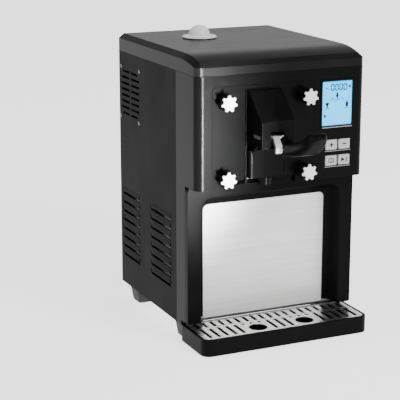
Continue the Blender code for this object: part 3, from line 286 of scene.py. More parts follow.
def moulded_gloss(look):
    """Black moulded plastic with a low sheen: a soft mould grain and fine wiping marks."""
    plastic = Finish("moulded_gloss", look.fascia_colour, 0.30)
    plastic.shader.inputs["IOR"].default_value = look.black_shine
    grain = plastic.noise(1300.0, 3.0, 0.6)
    ripple = plastic.noise(45.0, 2.0, 0.4)
    marks = plastic.noise(18.0, 6.0, 0.75, (1.0, 1.0, 9.0)).step(0.55, 0.78)
    plastic.feed("Base Color", plastic.tint(marks * 0.03 + grain * 0.015, (0.10, 0.10, 0.105)))
    plastic.feed("Roughness", marks * 0.10 + grain * 0.05 + (plastic.roughness - 0.04))
    return plastic.relief(grain * 0.25 + ripple * 0.75, look.texture_depth * 0.8, 0.25)


def moulded_satin(look):
    """Black plastic with a fine spark-eroded texture."""
    plastic = Finish("moulded_satin", look.frame_colour, 0.44)
    plastic.shader.inputs["IOR"].default_value = look.black_shine
    pits = plastic.cells(1500.0) * 0.6 + plastic.noise(2400.0, 2.0) * 0.4
    rub = plastic.noise(16.0, 5.0, 0.7).step(0.5, 0.8)
    plastic.feed("Base Color", plastic.tint(rub * 0.03 + pits * 0.015, (0.10, 0.10, 0.104)))
    plastic.feed("Roughness", pits * 0.08 + (plastic.roughness - 0.03) - rub * 0.10)
    return plastic.relief(pits, look.texture_depth * 0.7, 0.35)


def brushed_panel(look):
    """Stainless sheet brushed sideways, with drifting bands between the strokes."""
    steel = Finish("brushed_panel", look.steel_colour, 0.50, 1.0)
    strokes = steel.noise(1.0, 4.0, 0.75, (9.0, 60.0, 2600.0))
    bands = steel.noise(1.0, 3.0, 0.6, (1.6, 8.0, 130.0))
    cloud = steel.noise(7.0, 2.0)
    share = strokes * 0.6 + bands * 0.25 + cloud * 0.15
    dark = [channel * 0.66 for channel in look.steel_colour]
    steel.feed("Base Color", steel.blend(share.step(0.25, 0.72), dark, look.steel_colour))
    steel.feed("Roughness", strokes * 0.22 + (steel.roughness - 0.10))
    return steel.relief(strokes, 0.00002, 0.35)


def polished_steel(look):
    """Bright pressed steel with fine hairlines in all directions and soft water marks."""
    steel = Finish("polished_steel", look.steel_colour, 0.24, 1.0)
    across = steel.noise(1.0, 3.0, 0.7, (1800.0, 40.0, 40.0))
    along = steel.noise(1.0, 3.0, 0.7, (40.0, 1700.0, 40.0))
    spots = steel.cells(120.0).step(0.0, 0.35)
    lines = across * 0.5 + along * 0.5
    dull = [channel * 0.72 for channel in look.steel_colour]
    steel.feed("Base Color", steel.blend(lines.step(0.3, 0.6), dull, look.steel_colour))
    steel.feed("Roughness", lines * 0.16 + spots * 0.04 + (steel.roughness - 0.08))
    return steel.relief(lines, 0.000012, 0.25)


def mill_steel(look):
    """Plain stainless sheet with its rolling lines."""
    steel = Finish("mill_steel", (0.55, 0.55, 0.54), 0.34, 1.0)
    rolling = steel.noise(1.0, 4.0, 0.7, (700.0, 12.0, 700.0))
    steel.feed("Base Color", steel.tint(rolling.step(0.3, 0.8), (0.42, 0.42, 0.42)))
    steel.feed("Roughness", rolling * 0.2 + 0.24)
    return steel.relief(rolling, 0.000015, 0.3)


def zinc_plate(look):
    """Zinc-plated steel with its crystal spangle."""
    zinc = Finish("zinc_plate", (0.42, 0.43, 0.45), 0.38, 1.0)
    spangle = zinc.cells(160.0, "F1", "Color")
    tone = zinc.add("RGBToBW", None, (spangle,))
    zinc.feed("Base Color", zinc.tint(tone, (0.56, 0.57, 0.60)))
    zinc.feed("Roughness", tone * 0.22 + 0.26)
    return zinc.relief(tone, 0.00001, 0.4)


def fin_aluminium(look):
    """Thin fins with stamped ripples across each one, coloured near black as painted shade so that the louvre
    slots in front of them read dark.
    """
    # The near-black base colour is painted shade for the dark inside of the louvre slots, not a coating of
    # the fins.
    metal = Finish("fin_aluminium", (0.05, 0.05, 0.052), 0.45, 0.7)
    ripple = (metal.axis("Z") * 1400.0).wave()
    grime = metal.noise(60.0, 4.0, 0.7).step(0.4, 0.9)
    metal.feed("Base Color", metal.tint(grime * 0.5, (0.09, 0.088, 0.085)))
    metal.feed("Roughness", grime * 0.25 + 0.28)
    return metal.relief(ripple, 0.00006, 0.6)


def cast_case(look):
    """Sand-cast iron with a grey wash."""
    iron = Finish("cast_case", (0.16, 0.17, 0.18), 0.55, 0.85)
    sand = iron.noise(420.0, 5.0, 0.7)
    iron.feed("Base Color", iron.tint(sand.step(0.4, 0.8), (0.26, 0.26, 0.27)))
    iron.feed("Roughness", sand * 0.3 + 0.4)
    return iron.relief(sand, 0.0002, 0.6)


def copper_tube(look):
    """Drawn copper that has started to darken."""
    copper = Finish("copper_tube", (0.72, 0.34, 0.20), 0.28, 1.0)
    tarnish = copper.noise(90.0, 5.0, 0.7).step(0.42, 0.75)
    copper.feed("Base Color", copper.tint(tarnish, (0.30, 0.13, 0.08)))
    copper.feed("Roughness", tarnish * 0.25 + 0.22)
    return copper.relief(copper.noise(900.0), 0.00002, 0.3)


def black_rubber(look):
    """Moulded rubber with a fine grain and a grey bloom."""
    rubber = Finish("black_rubber", (0.012, 0.012, 0.012), 0.72)
    grain = rubber.noise(1500.0, 3.0, 0.6)
    bloom = rubber.noise(40.0, 4.0, 0.7).step(0.45, 0.8)
    rubber.feed("Base Color", rubber.tint(bloom * 0.12, (0.12, 0.12, 0.12)))
    rubber.feed("Roughness", grain * 0.15 + 0.64)
    return rubber.relief(grain, 0.00006, 0.5)


def milky_plastic(look):
    """Natural translucent plastic with faint flow clouds."""
    plastic = Finish("milky_plastic", look.lid_colour, 0.24, Subsurface_Weight=0.35, Subsurface_Scale=0.006)
    cloud = plastic.noise(55.0, 4.0, 0.6)
    plastic.feed("Base Color", plastic.tint(cloud.step(0.35, 0.8) * 0.30, (0.60, 0.62, 0.63)))
    plastic.feed("Roughness", cloud * 0.14 + 0.18)
    return plastic.relief(plastic.noise(700.0, 2.0), 0.00003, 0.25)


def knob_face(look):
    """Pale grey moulded face of the star knobs."""
    plastic = Finish("knob_face", look.knob_colour, 0.34)
    grain = plastic.noise(1600.0, 3.0)
    smudge = plastic.noise(110.0, 4.0, 0.7).step(0.5, 0.85)
    plastic.feed("Base Color", plastic.tint(smudge * 0.25 + grain * 0.06, (0.34, 0.34, 0.34)))
    plastic.feed("Roughness", grain * 0.10 + smudge * 0.10 + 0.28)
    return plastic.relief(grain, 0.00003, 0.3)


def knob_black(look):
    """Glossy black sides of the star knobs."""
    plastic = Finish("knob_black", (0.006, 0.006, 0.006), 0.22)
    plastic.shader.inputs["IOR"].default_value = 1.35
    smear = plastic.noise(90.0, 4.0, 0.7).step(0.45, 0.8)
    plastic.feed("Base Color", plastic.tint(smear * 0.1, (0.10, 0.10, 0.10)))
    plastic.feed("Roughness", smear * 0.18 + 0.18)
    return plastic.relief(plastic.noise(900.0, 2.0), 0.00003, 0.3)


def grip_plastic(look):
    """Soft black grip with a fine skin texture, a little shinier where the hand rubs."""
    plastic = Finish("grip_plastic", look.frame_colour, 0.34)
    plastic.shader.inputs["IOR"].default_value = look.black_shine - 0.05
    skin = plastic.cells(1100.0) * 0.5 + plastic.noise(1900.0, 2.0) * 0.5
    rub = plastic.noise(40.0, 4.0, 0.6).step(0.4, 0.8)
    plastic.feed("Base Color", plastic.tint(rub * 0.06, (0.10, 0.10, 0.10)))
    plastic.feed("Roughness", skin * 0.10 + 0.34 - rub * 0.08)
    return plastic.relief(skin, look.texture_depth * 0.8, 0.35)


def screw_steel(look):
    """Blackened screw steel, bare where the driver has turned."""
    steel = Finish("screw_steel", (0.10, 0.10, 0.105), 0.36, 1.0)
    wear = steel.noise(500.0, 4.0, 0.7).step(0.5, 0.75)
    steel.feed("Base Color", steel.tint(wear, (0.34, 0.34, 0.35)))
    steel.feed("Roughness", wear * 0.15 + 0.3)
    return steel.relief(steel.noise(1500.0), 0.00002, 0.3)


def key_plastic(look):
    """Satin grey key caps with a fine texture and a slight shine from fingers in the middle."""
    plastic = Finish("key_plastic", look.key_colour, 0.38)
    grain = plastic.noise(2200.0, 2.0)
    wear = plastic.noise(120.0, 3.0, 0.6).step(0.4, 0.8)
    plastic.feed("Base Color", plastic.tint(wear * 0.12, (0.62, 0.62, 0.61)))
    plastic.feed("Roughness", grain * 0.12 + 0.34 - wear * 0.08)
    return plastic.relief(grain, 0.00003, 0.4)


def rigid_foam(look):
    """Rigid foam with open cells at its cut face."""
    foam = Finish("rigid_foam", (0.66, 0.60, 0.40), 0.85)
    pores = foam.cells(700.0)
    foam.feed("Base Color", foam.tint(pores.step(0.0, 0.5), (0.80, 0.76, 0.58)))
    foam.feed("Roughness", pores * 0.1 + 0.8)
    return foam.relief(pores, 0.0004, 0.7)


def circuit_board(look):
    """Green solder mask over a lattice of tracks."""
    board = Finish("circuit_board", (0.012, 0.11, 0.04), 0.32)
    upright = (board.axis("X") * 1500.0).wave().step(0.72, 0.8)
    level = (board.axis("Z") * 1500.0).wave().step(0.72, 0.8)
    region = board.noise(60.0, 1.0).step(0.48, 0.52)
    track = upright * region + level * (1.0 - region)
    board.feed("Base Color", board.tint(track, (0.03, 0.24, 0.09)))
    board.feed("Roughness", track * 0.1 + 0.28)
    return board.relief(track, 0.00003, 0.5)


def display_light(look, centre, half):
    """Backlit display: pale blue in the middle, deeper towards the edges, under a faint dot grid."""
    glass = Finish("display_light", look.display_colour, 0.30, Coat_Weight=0.1)
    glass.shader.inputs["Coat Roughness"].default_value = 0.06
    glass.shader.inputs["Emission Strength"].default_value = look.display_strength
    across = abs(glass.axis("X", centre)) / half[0]
    up = abs(glass.axis("Z", centre)) / half[1]
    edge = across.step(0.93, 1.0).most(up.step(0.95, 1.0))
    fall = (across * across + up * up) * 0.16 + glass.noise(60.0, 2.0) * 0.05
    dots = (glass.axis("X") * 5200.0).wave() * (glass.axis("Z") * 5200.0).wave()
    rim = [channel * share for channel, share in zip(look.display_colour, (0.02, 0.20, 0.28))]
    deep = [channel * share for channel, share in zip(look.display_colour, (0.66, 0.88, 0.96))]
    lit = glass.blend(fall, look.display_colour, deep)
    glass.feed("Base Color", glass.blend(edge, deep, rim))
    glass.feed("Emission Color", glass.blend(edge, glass.blend(dots * 0.05, lit, deep), rim))
    return glass.feed("Roughness", dots * 0.03 + 0.28)


def printed(name, colour):
    """Printed ink or a dark display segment: solid, with a slightly ragged tone."""
    print_ink = Finish(name, colour, 0.45)
    print_ink.shader.inputs["IOR"].default_value = 1.2
    speck = print_ink.noise(3500.0, 2.0).step(0.45, 0.8)
    lighter = [channel * 1.5 + 0.01 for channel in colour]
    print_ink.feed("Base Color", print_ink.tint(speck * 0.4, lighter))
    return print_ink.feed("Roughness", speck * 0.1 + 0.4)


def segment_ink(look):
    """Dark blue segments of the display."""
    return printed("segment_ink", look.ink_colour)


def key_ink(look):
    """Near-black ink of the key signs."""
    return printed("key_ink", (0.006, 0.006, 0.006))


def lip_plastic(look):
    """Satin grey lips that catch the light under the display and the keys."""
    plastic = Finish("lip_plastic", (0.20, 0.20, 0.20), 0.35)
    grain = plastic.noise(1500.0, 3.0)
    plastic.feed("Base Color", plastic.tint(grain * 0.2, (0.30, 0.30, 0.30)))
    plastic.feed("Roughness", grain * 0.12 + 0.30)
    return plastic.relief(grain, 0.00002, 0.3)



def studio_floor(look):
    """Pale matt board under the machine, with the slightest tooth."""
    board = Finish("studio_floor", look.floor_colour, 0.9)
    board.shader.inputs["Emission Color"].default_value = (1.0, 1.0, 1.0, 1.0)
    board.shader.inputs["Emission Strength"].default_value = look.floor_glow
    tooth = board.noise(300.0, 3.0)
    shade = [channel * 0.985 for channel in look.floor_colour]
    board.feed("Base Color", board.tint(tooth, shade))
    board.feed("Roughness", tooth * 0.08 + 0.86)
    return board.relief(tooth, 0.0001, 0.1)


SLOT_FINISHES = {
    "cabinet_paint": powder_coat,
    "fascia_black": moulded_gloss,
    "frame_black": moulded_satin,
    "brushed_panel": brushed_panel,
    "bright_steel": polished_steel,
    "inner_steel": mill_steel,
    "zinc_steel": zinc_plate,
    "fin_aluminium": fin_aluminium,
    "cast_case": cast_case,
    "copper_tube": copper_tube,
    "black_rubber": black_rubber,
    "milky_plastic": milky_plastic,
    "knob_grey": knob_face,
    "key_grey": key_plastic,
    "foam": rigid_foam,
    "circuit_board": circuit_board,
}
MADE = {}


def material(maker, *values):
    """The material of a finish, made once."""
    if maker.__name__ not in MADE:
        look = bpy.context.scene.serve_look
        MADE[maker.__name__] = maker(look, *values).material
    return MADE[maker.__name__]


# ---------------------------------------------------------------- modelling

def choose(*pieces):
    """Selects these pieces alone, with the first one active."""
    bpy.ops.object.select_all(action="DESELECT")
    for piece in pieces:
        piece.select_set(True)
    bpy.context.view_layer.objects.active = pieces[0]


def settle(piece):
    """Puts the piece's place, turn and scale into its mesh."""
    choose(piece)
    bpy.ops.object.transform_apply(location=True, rotation=True, scale=True)
    return piece


def block(name, corner, far):
    """A box between two corners, as a start."""
    corner, far = Vector(corner), Vector(far)
    bpy.ops.object.select_all(action="DESELECT")
    bpy.ops.mesh.primitive_cube_add(size=1.0, location=(corner + far) / 2, scale=far - corner)
    bpy.context.object.name = name
    return settle(bpy.context.object)


TURNS = {"X": (0.0, math.pi / 2, 0.0), "Y": (math.pi / 2, 0.0, 0.0), "Z": (0.0, 0.0, 0.0)}


def drum(name, centre, radius, depth, axis="Z", sides=48):
    """A round bar with its middle at a centre, as a start."""
    bpy.ops.object.select_all(action="DESELECT")
    bpy.ops.mesh.primitive_cylinder_add(vertices=sides, radius=radius, depth=depth, location=centre,
                                        rotation=TURNS[axis])
    bpy.context.object.name = name
    return settle(bpy.context.object)


class Shaping:
    """Edit mode on one piece: pick parts of it in code, then use the mesh operators."""

    def __init__(self, piece, kind="FACE"):
        self.piece = piece
        self.kind = kind

    def __enter__(self):
        choose(self.piece)
        bpy.ops.object.mode_set(mode="EDIT")
        bpy.ops.mesh.select_mode(type=self.kind)
        bpy.ops.mesh.select_all(action="DESELECT")
        return self

    def __exit__(self, *problem):
        bpy.ops.object.mode_set(mode="OBJECT")

    def pick(self, test):
        """Selects what passes the test, and nothing else."""
        bpy.ops.mesh.select_all(action="DESELECT")
        mesh = bmesh.from_edit_mesh(self.piece.data)
        group = {"VERT": mesh.verts, "EDGE": mesh.edges, "FACE": mesh.faces}[self.kind]
        found = [part for part in group if test(part)]
        if not found:
            raise RuntimeError(f"nothing was picked on {self.piece.name}")
        for part in found:
            part.select_set(True)
        bmesh.update_edit_mesh(self.piece.data)
        return len(found)


def modified(piece, kind, **settings):
    """Adds a modifier with these settings and applies it."""
    choose(piece)
    modifier = piece.modifiers.new(kind.lower(), kind)
    for label, value in settings.items():
        setattr(modifier, label, value)
    bpy.ops.object.modifier_apply(modifier=modifier.name)
    return piece


def carve(piece, *tools):
    """Cuts tools out of a piece and removes them."""
    for tool in tools:
        modified(piece, "BOOLEAN", object=tool, operation="DIFFERENCE", solver="EXACT")
        bpy.data.objects.remove(tool)
    return piece


def gather(name, pieces):
    """Joins separate small pieces into one object."""
    choose(*pieces)
    if len(pieces) > 1:
        bpy.ops.object.join()
    bpy.context.object.name = name
    return bpy.context.object


def smooth(piece, angle=35.0):
    """Shades smooth up to an angle between faces, in degrees."""
    choose(piece)
    bpy.ops.object.shade_smooth_by_angle(angle=math.radians(angle))
    return piece


def eased(piece, radius, segments=2, angle=30.0):
    """Rounds the edges sharper than an angle and shades the piece smooth."""
    modified(piece, "BEVEL", width=radius, segments=segments, limit_method="ANGLE",
             angle_limit=math.radians(angle), miter_outer="MITER_ARC")
    smooth(piece, 40.0)
    return modified(piece, "WEIGHTED_NORMAL", weight=100, keep_sharp=True)


def copied(piece, name, shift):
    """A copy with its own mesh, moved by a shift."""
    copy = piece.copy()
    copy.data = piece.data.copy()
    copy.name = name
    bpy.context.scene.collection.objects.link(copy)
    choose(copy)
    bpy.ops.transform.translate(value=shift)
    return settle(copy)


def turned(name, outline, centre, steps=72):
    """A round piece spun about the upright line through a centre, from (radius, height) points."""
    bpy.ops.object.select_all(action="DESELECT")
    bpy.ops.mesh.primitive_plane_add(size=0.001, location=centre)
    piece = bpy.context.object
    piece.name = name
    settle(piece)
    with Shaping(piece, "VERT"):
        bpy.ops.mesh.select_all(action="SELECT")
        bpy.ops.mesh.merge(type="CENTER")
        bpy.ops.transform.translate(value=(outline[0][0], 0.0, outline[0][1]))
        for (r0, h0), (r1, h1) in zip(outline, outline[1:]):
            bpy.ops.mesh.extrude_vertices_move(TRANSFORM_OT_translate={"value": (r1 - r0, 0.0, h1 - h0)})
        bpy.ops.mesh.select_all(action="SELECT")
        bpy.ops.mesh.spin(steps=steps, angle=2 * math.pi, center=centre, axis=(0.0, 0.0, 1.0))
        bpy.ops.mesh.select_all(action="SELECT")
        bpy.ops.mesh.remove_doubles(threshold=0.000002)
        bpy.ops.mesh.normals_make_consistent(inside=False)
    return piece


def screw(name, place, axis, sign, radius, rise):
    """A pan-head screw with a cross recess, standing out of a face along one axis."""
    along = {"X": Vector((sign, 0.0, 0.0)), "Y": Vector((0.0, sign, 0.0)),
             "Z": Vector((0.0, 0.0, sign))}[axis]
    place = Vector(place)
    head = drum(name, place + along * (rise / 2 - 0.0001), radius, rise + 0.0002, axis, 28)
    with Shaping(head, "EDGE") as shape:
        face = (place + along * rise).dot(along)
        shape.pick(lambda edge: all(abs(v.co.dot(along) - face) < 0.00005 for v in edge.verts))
        bpy.ops.mesh.bevel(offset=rise * 0.7, segments=4)
    span = Vector((radius * 0.55,) * 3)
    slim = Vector((radius * 0.13,) * 3)
    for across in {"X": (1, 2), "Y": (0, 2), "Z": (0, 1)}[axis]:
        half = slim.copy()
        half[across] = span[across]
        half["XYZ".index(axis)] = rise * 0.6
        middle_point = place + along * rise
        carve(head, block("recess", middle_point - half, middle_point + half))
    return smooth(head, 35.0)


def context_sizes():
    """The sizes that the user sets."""
    return bpy.context.scene.serve_sizes


def from_frame(node, name, radius=0.0, segments=2, angle=30.0):
    """A copy of a frame node with its faces merged and its edges rounded, which stands for it."""
    piece = NODES[node].copy()
    piece.data = NODES[node].data.copy()
    piece.name = name
    piece.parent = None
    del piece["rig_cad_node"]
    bpy.context.scene.collection.objects.link(piece)
    piece.data.materials.clear()
    choose(piece)
    if piece.data.has_custom_normals:
        bpy.ops.mesh.customdata_custom_splitnormals_clear()
    with Shaping(piece, "VERT"):
        bpy.ops.mesh.select_all(action="SELECT")
        bpy.ops.mesh.remove_doubles(threshold=0.000005)
        bpy.ops.mesh.dissolve_limited(angle_limit=math.radians(0.4))
    if radius:
        eased(piece, radius, segments, angle)
    else:
        smooth(piece)
    return dress(piece, node, SLOT_FINISHES[SLOT_OF[node]], True)


def dress(piece, node, maker, stands=False, extra=()):
    """Gives a piece its material and slot, and makes it ride with a frame node's body."""
    piece.data.materials.clear()
    piece.data.materials.append(material(maker, *extra))
    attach(piece, BODY_OF[node])
    if stands:
        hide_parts(node)
    return piece


# ---------------------------------------------------------------- sizes and colours a user sets

class SERVE_PG_look(bpy.types.PropertyGroup):
    """Colours and textures of the finishes."""

    cabinet_colour: FloatVectorProperty(name="Cabinet", description="Powder coat of the side panels",
                                        default=(0.007, 0.007, 0.0072), subtype="COLOR", size=3)
    cover_colour: FloatVectorProperty(name="Top Cover", description="Paint of the top cover",
                                      default=(0.007, 0.007, 0.0072), subtype="COLOR", size=3)
    fascia_colour: FloatVectorProperty(name="Fascia", description="Black moulding of the head",
                                       default=(0.0015, 0.0015, 0.0016), subtype="COLOR", size=3)
    frame_colour: FloatVectorProperty(name="Front Frame", description="Black moulding of frame and tray",
                                      default=(0.0015, 0.0015, 0.0016), subtype="COLOR", size=3)
    steel_colour: FloatVectorProperty(name="Steel", description="Splash panel, grid and lever",
                                      default=(0.86, 0.86, 0.85), subtype="COLOR", size=3)
    knob_colour: FloatVectorProperty(name="Knob Faces", description="Faces of the star knobs",
                                     default=(0.86, 0.86, 0.85), subtype="COLOR", size=3)
    key_colour: FloatVectorProperty(name="Keys", description="Key caps",
                                    default=(0.36, 0.36, 0.355), subtype="COLOR", size=3)
    lid_colour: FloatVectorProperty(name="Lid", description="Hopper lid and plunger",
                                    default=(0.84, 0.85, 0.85), subtype="COLOR", size=3)
    display_colour: FloatVectorProperty(name="Display", description="Light of the display",
                                        default=(0.0, 0.52, 0.95), subtype="COLOR", size=3)
    display_strength: FloatProperty(name="Display Light", description="Strength of the display's light",
                                    default=1.25, min=0.0, max=5.0)
    ink_colour: FloatVectorProperty(name="Segments", description="Dark segments of the display",
                                    default=(0.002, 0.008, 0.07), subtype="COLOR", size=3)
    floor_colour: FloatVectorProperty(name="Floor", description="Board under the machine",
                                      default=(0.90, 0.90, 0.90), subtype="COLOR", size=3)
    floor_glow: FloatProperty(name="Floor Glow", description="Light given by the lit board itself",
                              default=1.7, min=0.0, max=5.0)
    paint_shine: FloatProperty(name="Paint Shine", description="Refractive index of the cabinet's paint",
                               default=1.07, min=1.0, max=2.0)
    black_shine: FloatProperty(name="Black Shine", description="Refractive index of the black mouldings",
                               default=1.13, min=1.0, max=2.0)
    texture_depth: FloatProperty(name="Texture Depth", description="Depth of paint peel and mould grain",
                                 default=0.00008, min=0.0, max=0.001, unit="LENGTH", precision=5)


class SERVE_PG_sizes(bpy.types.PropertyGroup):
    """Sizes of the pieces that the frame leaves open."""

    fold_radius: FloatProperty(name="Cover Edge", description="Rounding of the top cover's edges",
                               default=0.0012, min=0.0002, max=0.003, unit="LENGTH", precision=4)
    mould_radius: FloatProperty(name="Mould Edge", description="Rounding of the moulded edges",
                                default=0.0006, min=0.0001, max=0.002, unit="LENGTH", precision=4)
    louvre_relief: FloatProperty(name="Louvre Relief", description="How far the pressed louvres stand out",
                                 default=0.0009, min=0.0002, max=0.001, unit="LENGTH", precision=4)
    screw_radius: FloatProperty(name="Screw Head", description="Radius of the case screws' heads",
                                default=0.0032, min=0.0015, max=0.005, unit="LENGTH", precision=4)
    knob_lobes: IntProperty(name="Knob Lobes", description="Lobes round each star knob",
                            default=7, min=5, max=9)
    knob_cap: FloatProperty(name="Knob Cap", description="Thickness of the knobs' pale faces",
                            default=0.0030, min=0.001, max=0.006, unit="LENGTH", precision=4)
    stroke: FloatProperty(name="Segment Stroke", description="Width of the display's segments",
                          default=0.0015, min=0.0004, max=0.002, unit="LENGTH", precision=4)
    digit_height: FloatProperty(name="Digit Height", description="Height of the display's digits",
                                default=0.0088, min=0.004, max=0.012, unit="LENGTH", precision=4)
    reading: StringProperty(name="Reading", description="Digits shown on the display", default="0000")


class SERVE_PG_stage(bpy.types.PropertyGroup):
    """Camera, lights and floor."""

    camera_place: FloatVectorProperty(name="Camera", description="Place of the camera",
                                      default=(-0.92604, -1.82322, 0.72484), size=3,
                                      subtype="TRANSLATION", unit="LENGTH")
    camera_down: FloatProperty(name="Camera Tilt", description="How far the camera looks down",
                               default=math.radians(14.343), subtype="ANGLE")
    camera_round: FloatProperty(name="Camera Turn", description="How far the camera stands to the left",
                                default=math.radians(24.4186), subtype="ANGLE")
    lens: FloatProperty(name="Lens", description="Focal length for a 36 mm sensor, in millimetres",
                        default=121.87, min=20.0, max=300.0)
    world_light: FloatProperty(name="Room Light", description="Strength of the light all round",
                               default=0.55, min=0.0, max=5.0)
    key_light: FloatProperty(name="Key Light", description="Power of the soft box above the front",
                             default=30.0, min=0.0, max=500.0, unit="POWER")
    side_light: FloatProperty(name="Side Light", description="Power of the soft box on the left",
                              default=6.0, min=0.0, max=500.0, unit="POWER")
    strip_light: FloatProperty(name="Strip Light", description="Power of the tall light beside the corner",
                               default=1.5, min=0.0, max=500.0, unit="POWER")
    rear_light: FloatProperty(name="Rear Light", description="Power of the soft box behind the top",
                              default=2.6, min=0.0, max=500.0, unit="POWER")
    show_floor: BoolProperty(name="Floor", description="Lays the floor under the machine", default=True)


# ---------------------------------------------------------------- cabinet

class SERVE_OT_finishes(bpy.types.Operator):
    """Gives every frame node its finish"""

    bl_idname = "serve.finishes"
    bl_label = "Frame Finishes"

    def execute(self, context):
        glass = middle("display_module")
        half = (high("display_module") - low("display_module")) / 2
        for name, node in NODES.items():
            node.data.materials.clear()
            if SLOT_OF[name] == "display_glass":
                node.data.materials.append(material(display_light, tuple(glass), (half.x, half.z)))
            else:
                node.data.materials.append(material(SLOT_FINISHES[SLOT_OF[name]]))
        return {"FINISHED"}


class SERVE_OT_cover(bpy.types.Operator):
    """Rounds the folds of the top cover and turns the domed hopper lid"""

    bl_idname = "serve.cover"
    bl_label = "Top Cover and Lid"

    def execute(self, context):
        sizes = context.scene.serve_sizes
        cover = from_frame("top_cover", "cover_shell", sizes.fold_radius, 3, 18.0)
        dress(cover, "top_cover", cover_paint)
        centre = middle("hopper_lid")
        base, top = low("hopper_lid").z, high("hopper_lid").z
        rim = (high("hopper_lid").x - low("hopper_lid").x) / 2
        plug = rim - 0.0071
        seat = base + 0.010
        dome = rim * 0.61
        height = top - seat - 0.0040
        outline = [(0.0, base + 0.0016), (plug - 0.0030, base + 0.0016), (plug - 0.0026, base),
                   (plug - 0.0006, base), (plug, base + 0.0008), (plug, seat), (rim - 0.0006, seat),
                   (rim, seat + 0.0006), (rim - 0.0002, seat + 0.0016), (rim - 0.0020, seat + 0.0028),
                   (dome + 0.0042, seat + 0.0034), (dome + 0.0012, seat + 0.0043)]
        for step in range(13):
            angle = math.radians(7.5 * step)
            outline.append((dome * math.cos(angle), seat + 0.0046 + (height - 0.0006) * math.sin(angle)))
        lid = turned("lid_dome", outline, (centre.x, centre.y, 0.0))
        dress(smooth(lid, 45.0), "hopper_lid", milky_plastic, True)
        return {"FINISHED"}


class SERVE_OT_sides(bpy.types.Operator):
    """Presses the louvres into the side panels and fits the case screws"""

    bl_idname = "serve.sides"
    bl_label = "Side Panels"

    def hood(self, sign, height, near, far):
        """The pressed scoop over one louvre: it falls back to the panel towards its top."""
        skin, proud = sign * SIDE, sign * (SIDE + context_sizes().louvre_relief)
        top = height + LOUVRE_PITCH - LOUVRE_H * 1.45
        scoop = block("scoop", (min(skin, proud), near, height), (max(skin, proud), far, top))
        with Shaping(scoop) as shape:
            shape.pick(lambda face: face.normal.x * sign > 0.5)
            bpy.ops.transform.resize(value=(1.0, 0.93, 0.30), center_override=(proud, near + 0.002, height))
        return eased(scoop, 0.00025, 2, 10.0)

    def lip(self, sign, height, near, far):
        """The rolled edge under one louvre, which curls up behind it."""
        skin, proud = sign * SIDE, sign * (SIDE + context_sizes().louvre_relief * 0.6)
        thick = LOUVRE_H * 0.24
        roll = block("roll", (min(skin, proud), near, height - thick), (max(skin, proud), far, height))
        with Shaping(roll) as shape:
            shape.pick(lambda face: face.normal.y > 0.5)
            for y, z in LIP_CURL:
                bpy.ops.mesh.extrude_region_move(TRANSFORM_OT_translate={"value": (0.0, y, z)})
        return eased(roll, 0.0002, 2, 25.0)

    def execute(self, context):
        sizes = context.scene.serve_sizes
        for hand, sign in (("left", -1), ("right", 1)):
            node = f"side_panel_{hand}"
            hoods = []
            for row in range(LOUVRE_ROWS):
                height = LOUVRE_Z + row * LOUVRE_PITCH
                for near, far in LOUVRE_BANKS:
                    hoods.append(self.hood(sign, height + LOUVRE_H / 2, near, far))
                    hoods.append(self.lip(sign, height - LOUVRE_H / 2, near, far))
            dress(gather(f"louvre_hoods_{hand}", hoods), node, powder_coat)
            heads = []
            for y, z in FAN_SCREWS:
                heads.append(screw("fan_screw", (sign * SIDE, y, z), "X", sign, sizes.screw_radius, 0.0009))
            dress(gather(f"fan_screws_{hand}", heads), node, screw_steel)
        return {"FINISHED"}


class SERVE_OT_front(bpy.types.Operator):
    """Rounds the moulded head, the front frame, the splash panel and the feet"""

    bl_idname = "serve.front"
    bl_label = "Front Mouldings"

    def execute(self, context):
        sizes = context.scene.serve_sizes
        from_frame("front_housing", "head_moulding", sizes.mould_radius * 0.6, 2, 50.0)
        from_frame("lower_front_frame", "front_frame", sizes.mould_radius, 2, 35.0)
        from_frame("splash_panel", "splash_sheet", 0.0003, 2, 60.0)
        for end in ("front", "rear"):
            for hand in ("left", "right"):
                from_frame(f"foot_{end}_{hand}", f"foot_pad_{end}_{hand}", sizes.mould_radius * 2, 3)
        return {"FINISHED"}


class SERVE_OT_tray(bpy.types.Operator):
    """Rounds the drip tray under the slotted grid"""

    bl_idname = "serve.tray"
    bl_label = "Drip Tray"

    def execute(self, context):
        sizes = context.scene.serve_sizes
        from_frame("drip_tray", "tray_moulding", sizes.mould_radius * 1.6, 3, 40.0)
        return {"FINISHED"}


class SERVE_OT_door(bpy.types.Operator):
    """Rounds the door, valve body, hood, pivot and nozzle, and adds the hood's flange"""

    bl_idname = "serve.door"
    bl_label = "Dispensing Door"

    def execute(self, context):
        sizes = context.scene.serve_sizes
        edge = sizes.mould_radius
        from_frame("dispensing_door", "door_plate", edge * 0.8, 2, 50.0)
        from_frame("valve_body", "valve_block", edge * 2.0, 3, 50.0)
        from_frame("valve_hood", "hood_shell", edge * 1.5, 3, 20.0)
        from_frame("star_nozzle", "nozzle", edge * 0.5, 2, 40.0)
        from_frame("pivot_pin", "pivot_bar", 0.0003, 2, 40.0)
        hood_low, hood_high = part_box("valve_hood")
        front, back = hood_high.y - 0.0024, hood_high.y
        z0, z1 = low("star_nozzle").z + 0.0005, hood_high.z + 0.0016
        flange = block("hood_flange", (hood_low.x - 0.0026, front, z0), (hood_high.x + 0.0004, back, z1))
        inner = block("inner", (hood_low.x - 0.0003, front - 0.004, z0 - 0.004),
                      (hood_high.x + 0.004, back + 0.004, hood_high.z + 0.0003))
        carve(flange, inner)
        dress(eased(flange, edge * 1.3, 3), "valve_hood", moulded_gloss)
        return {"FINISHED"}


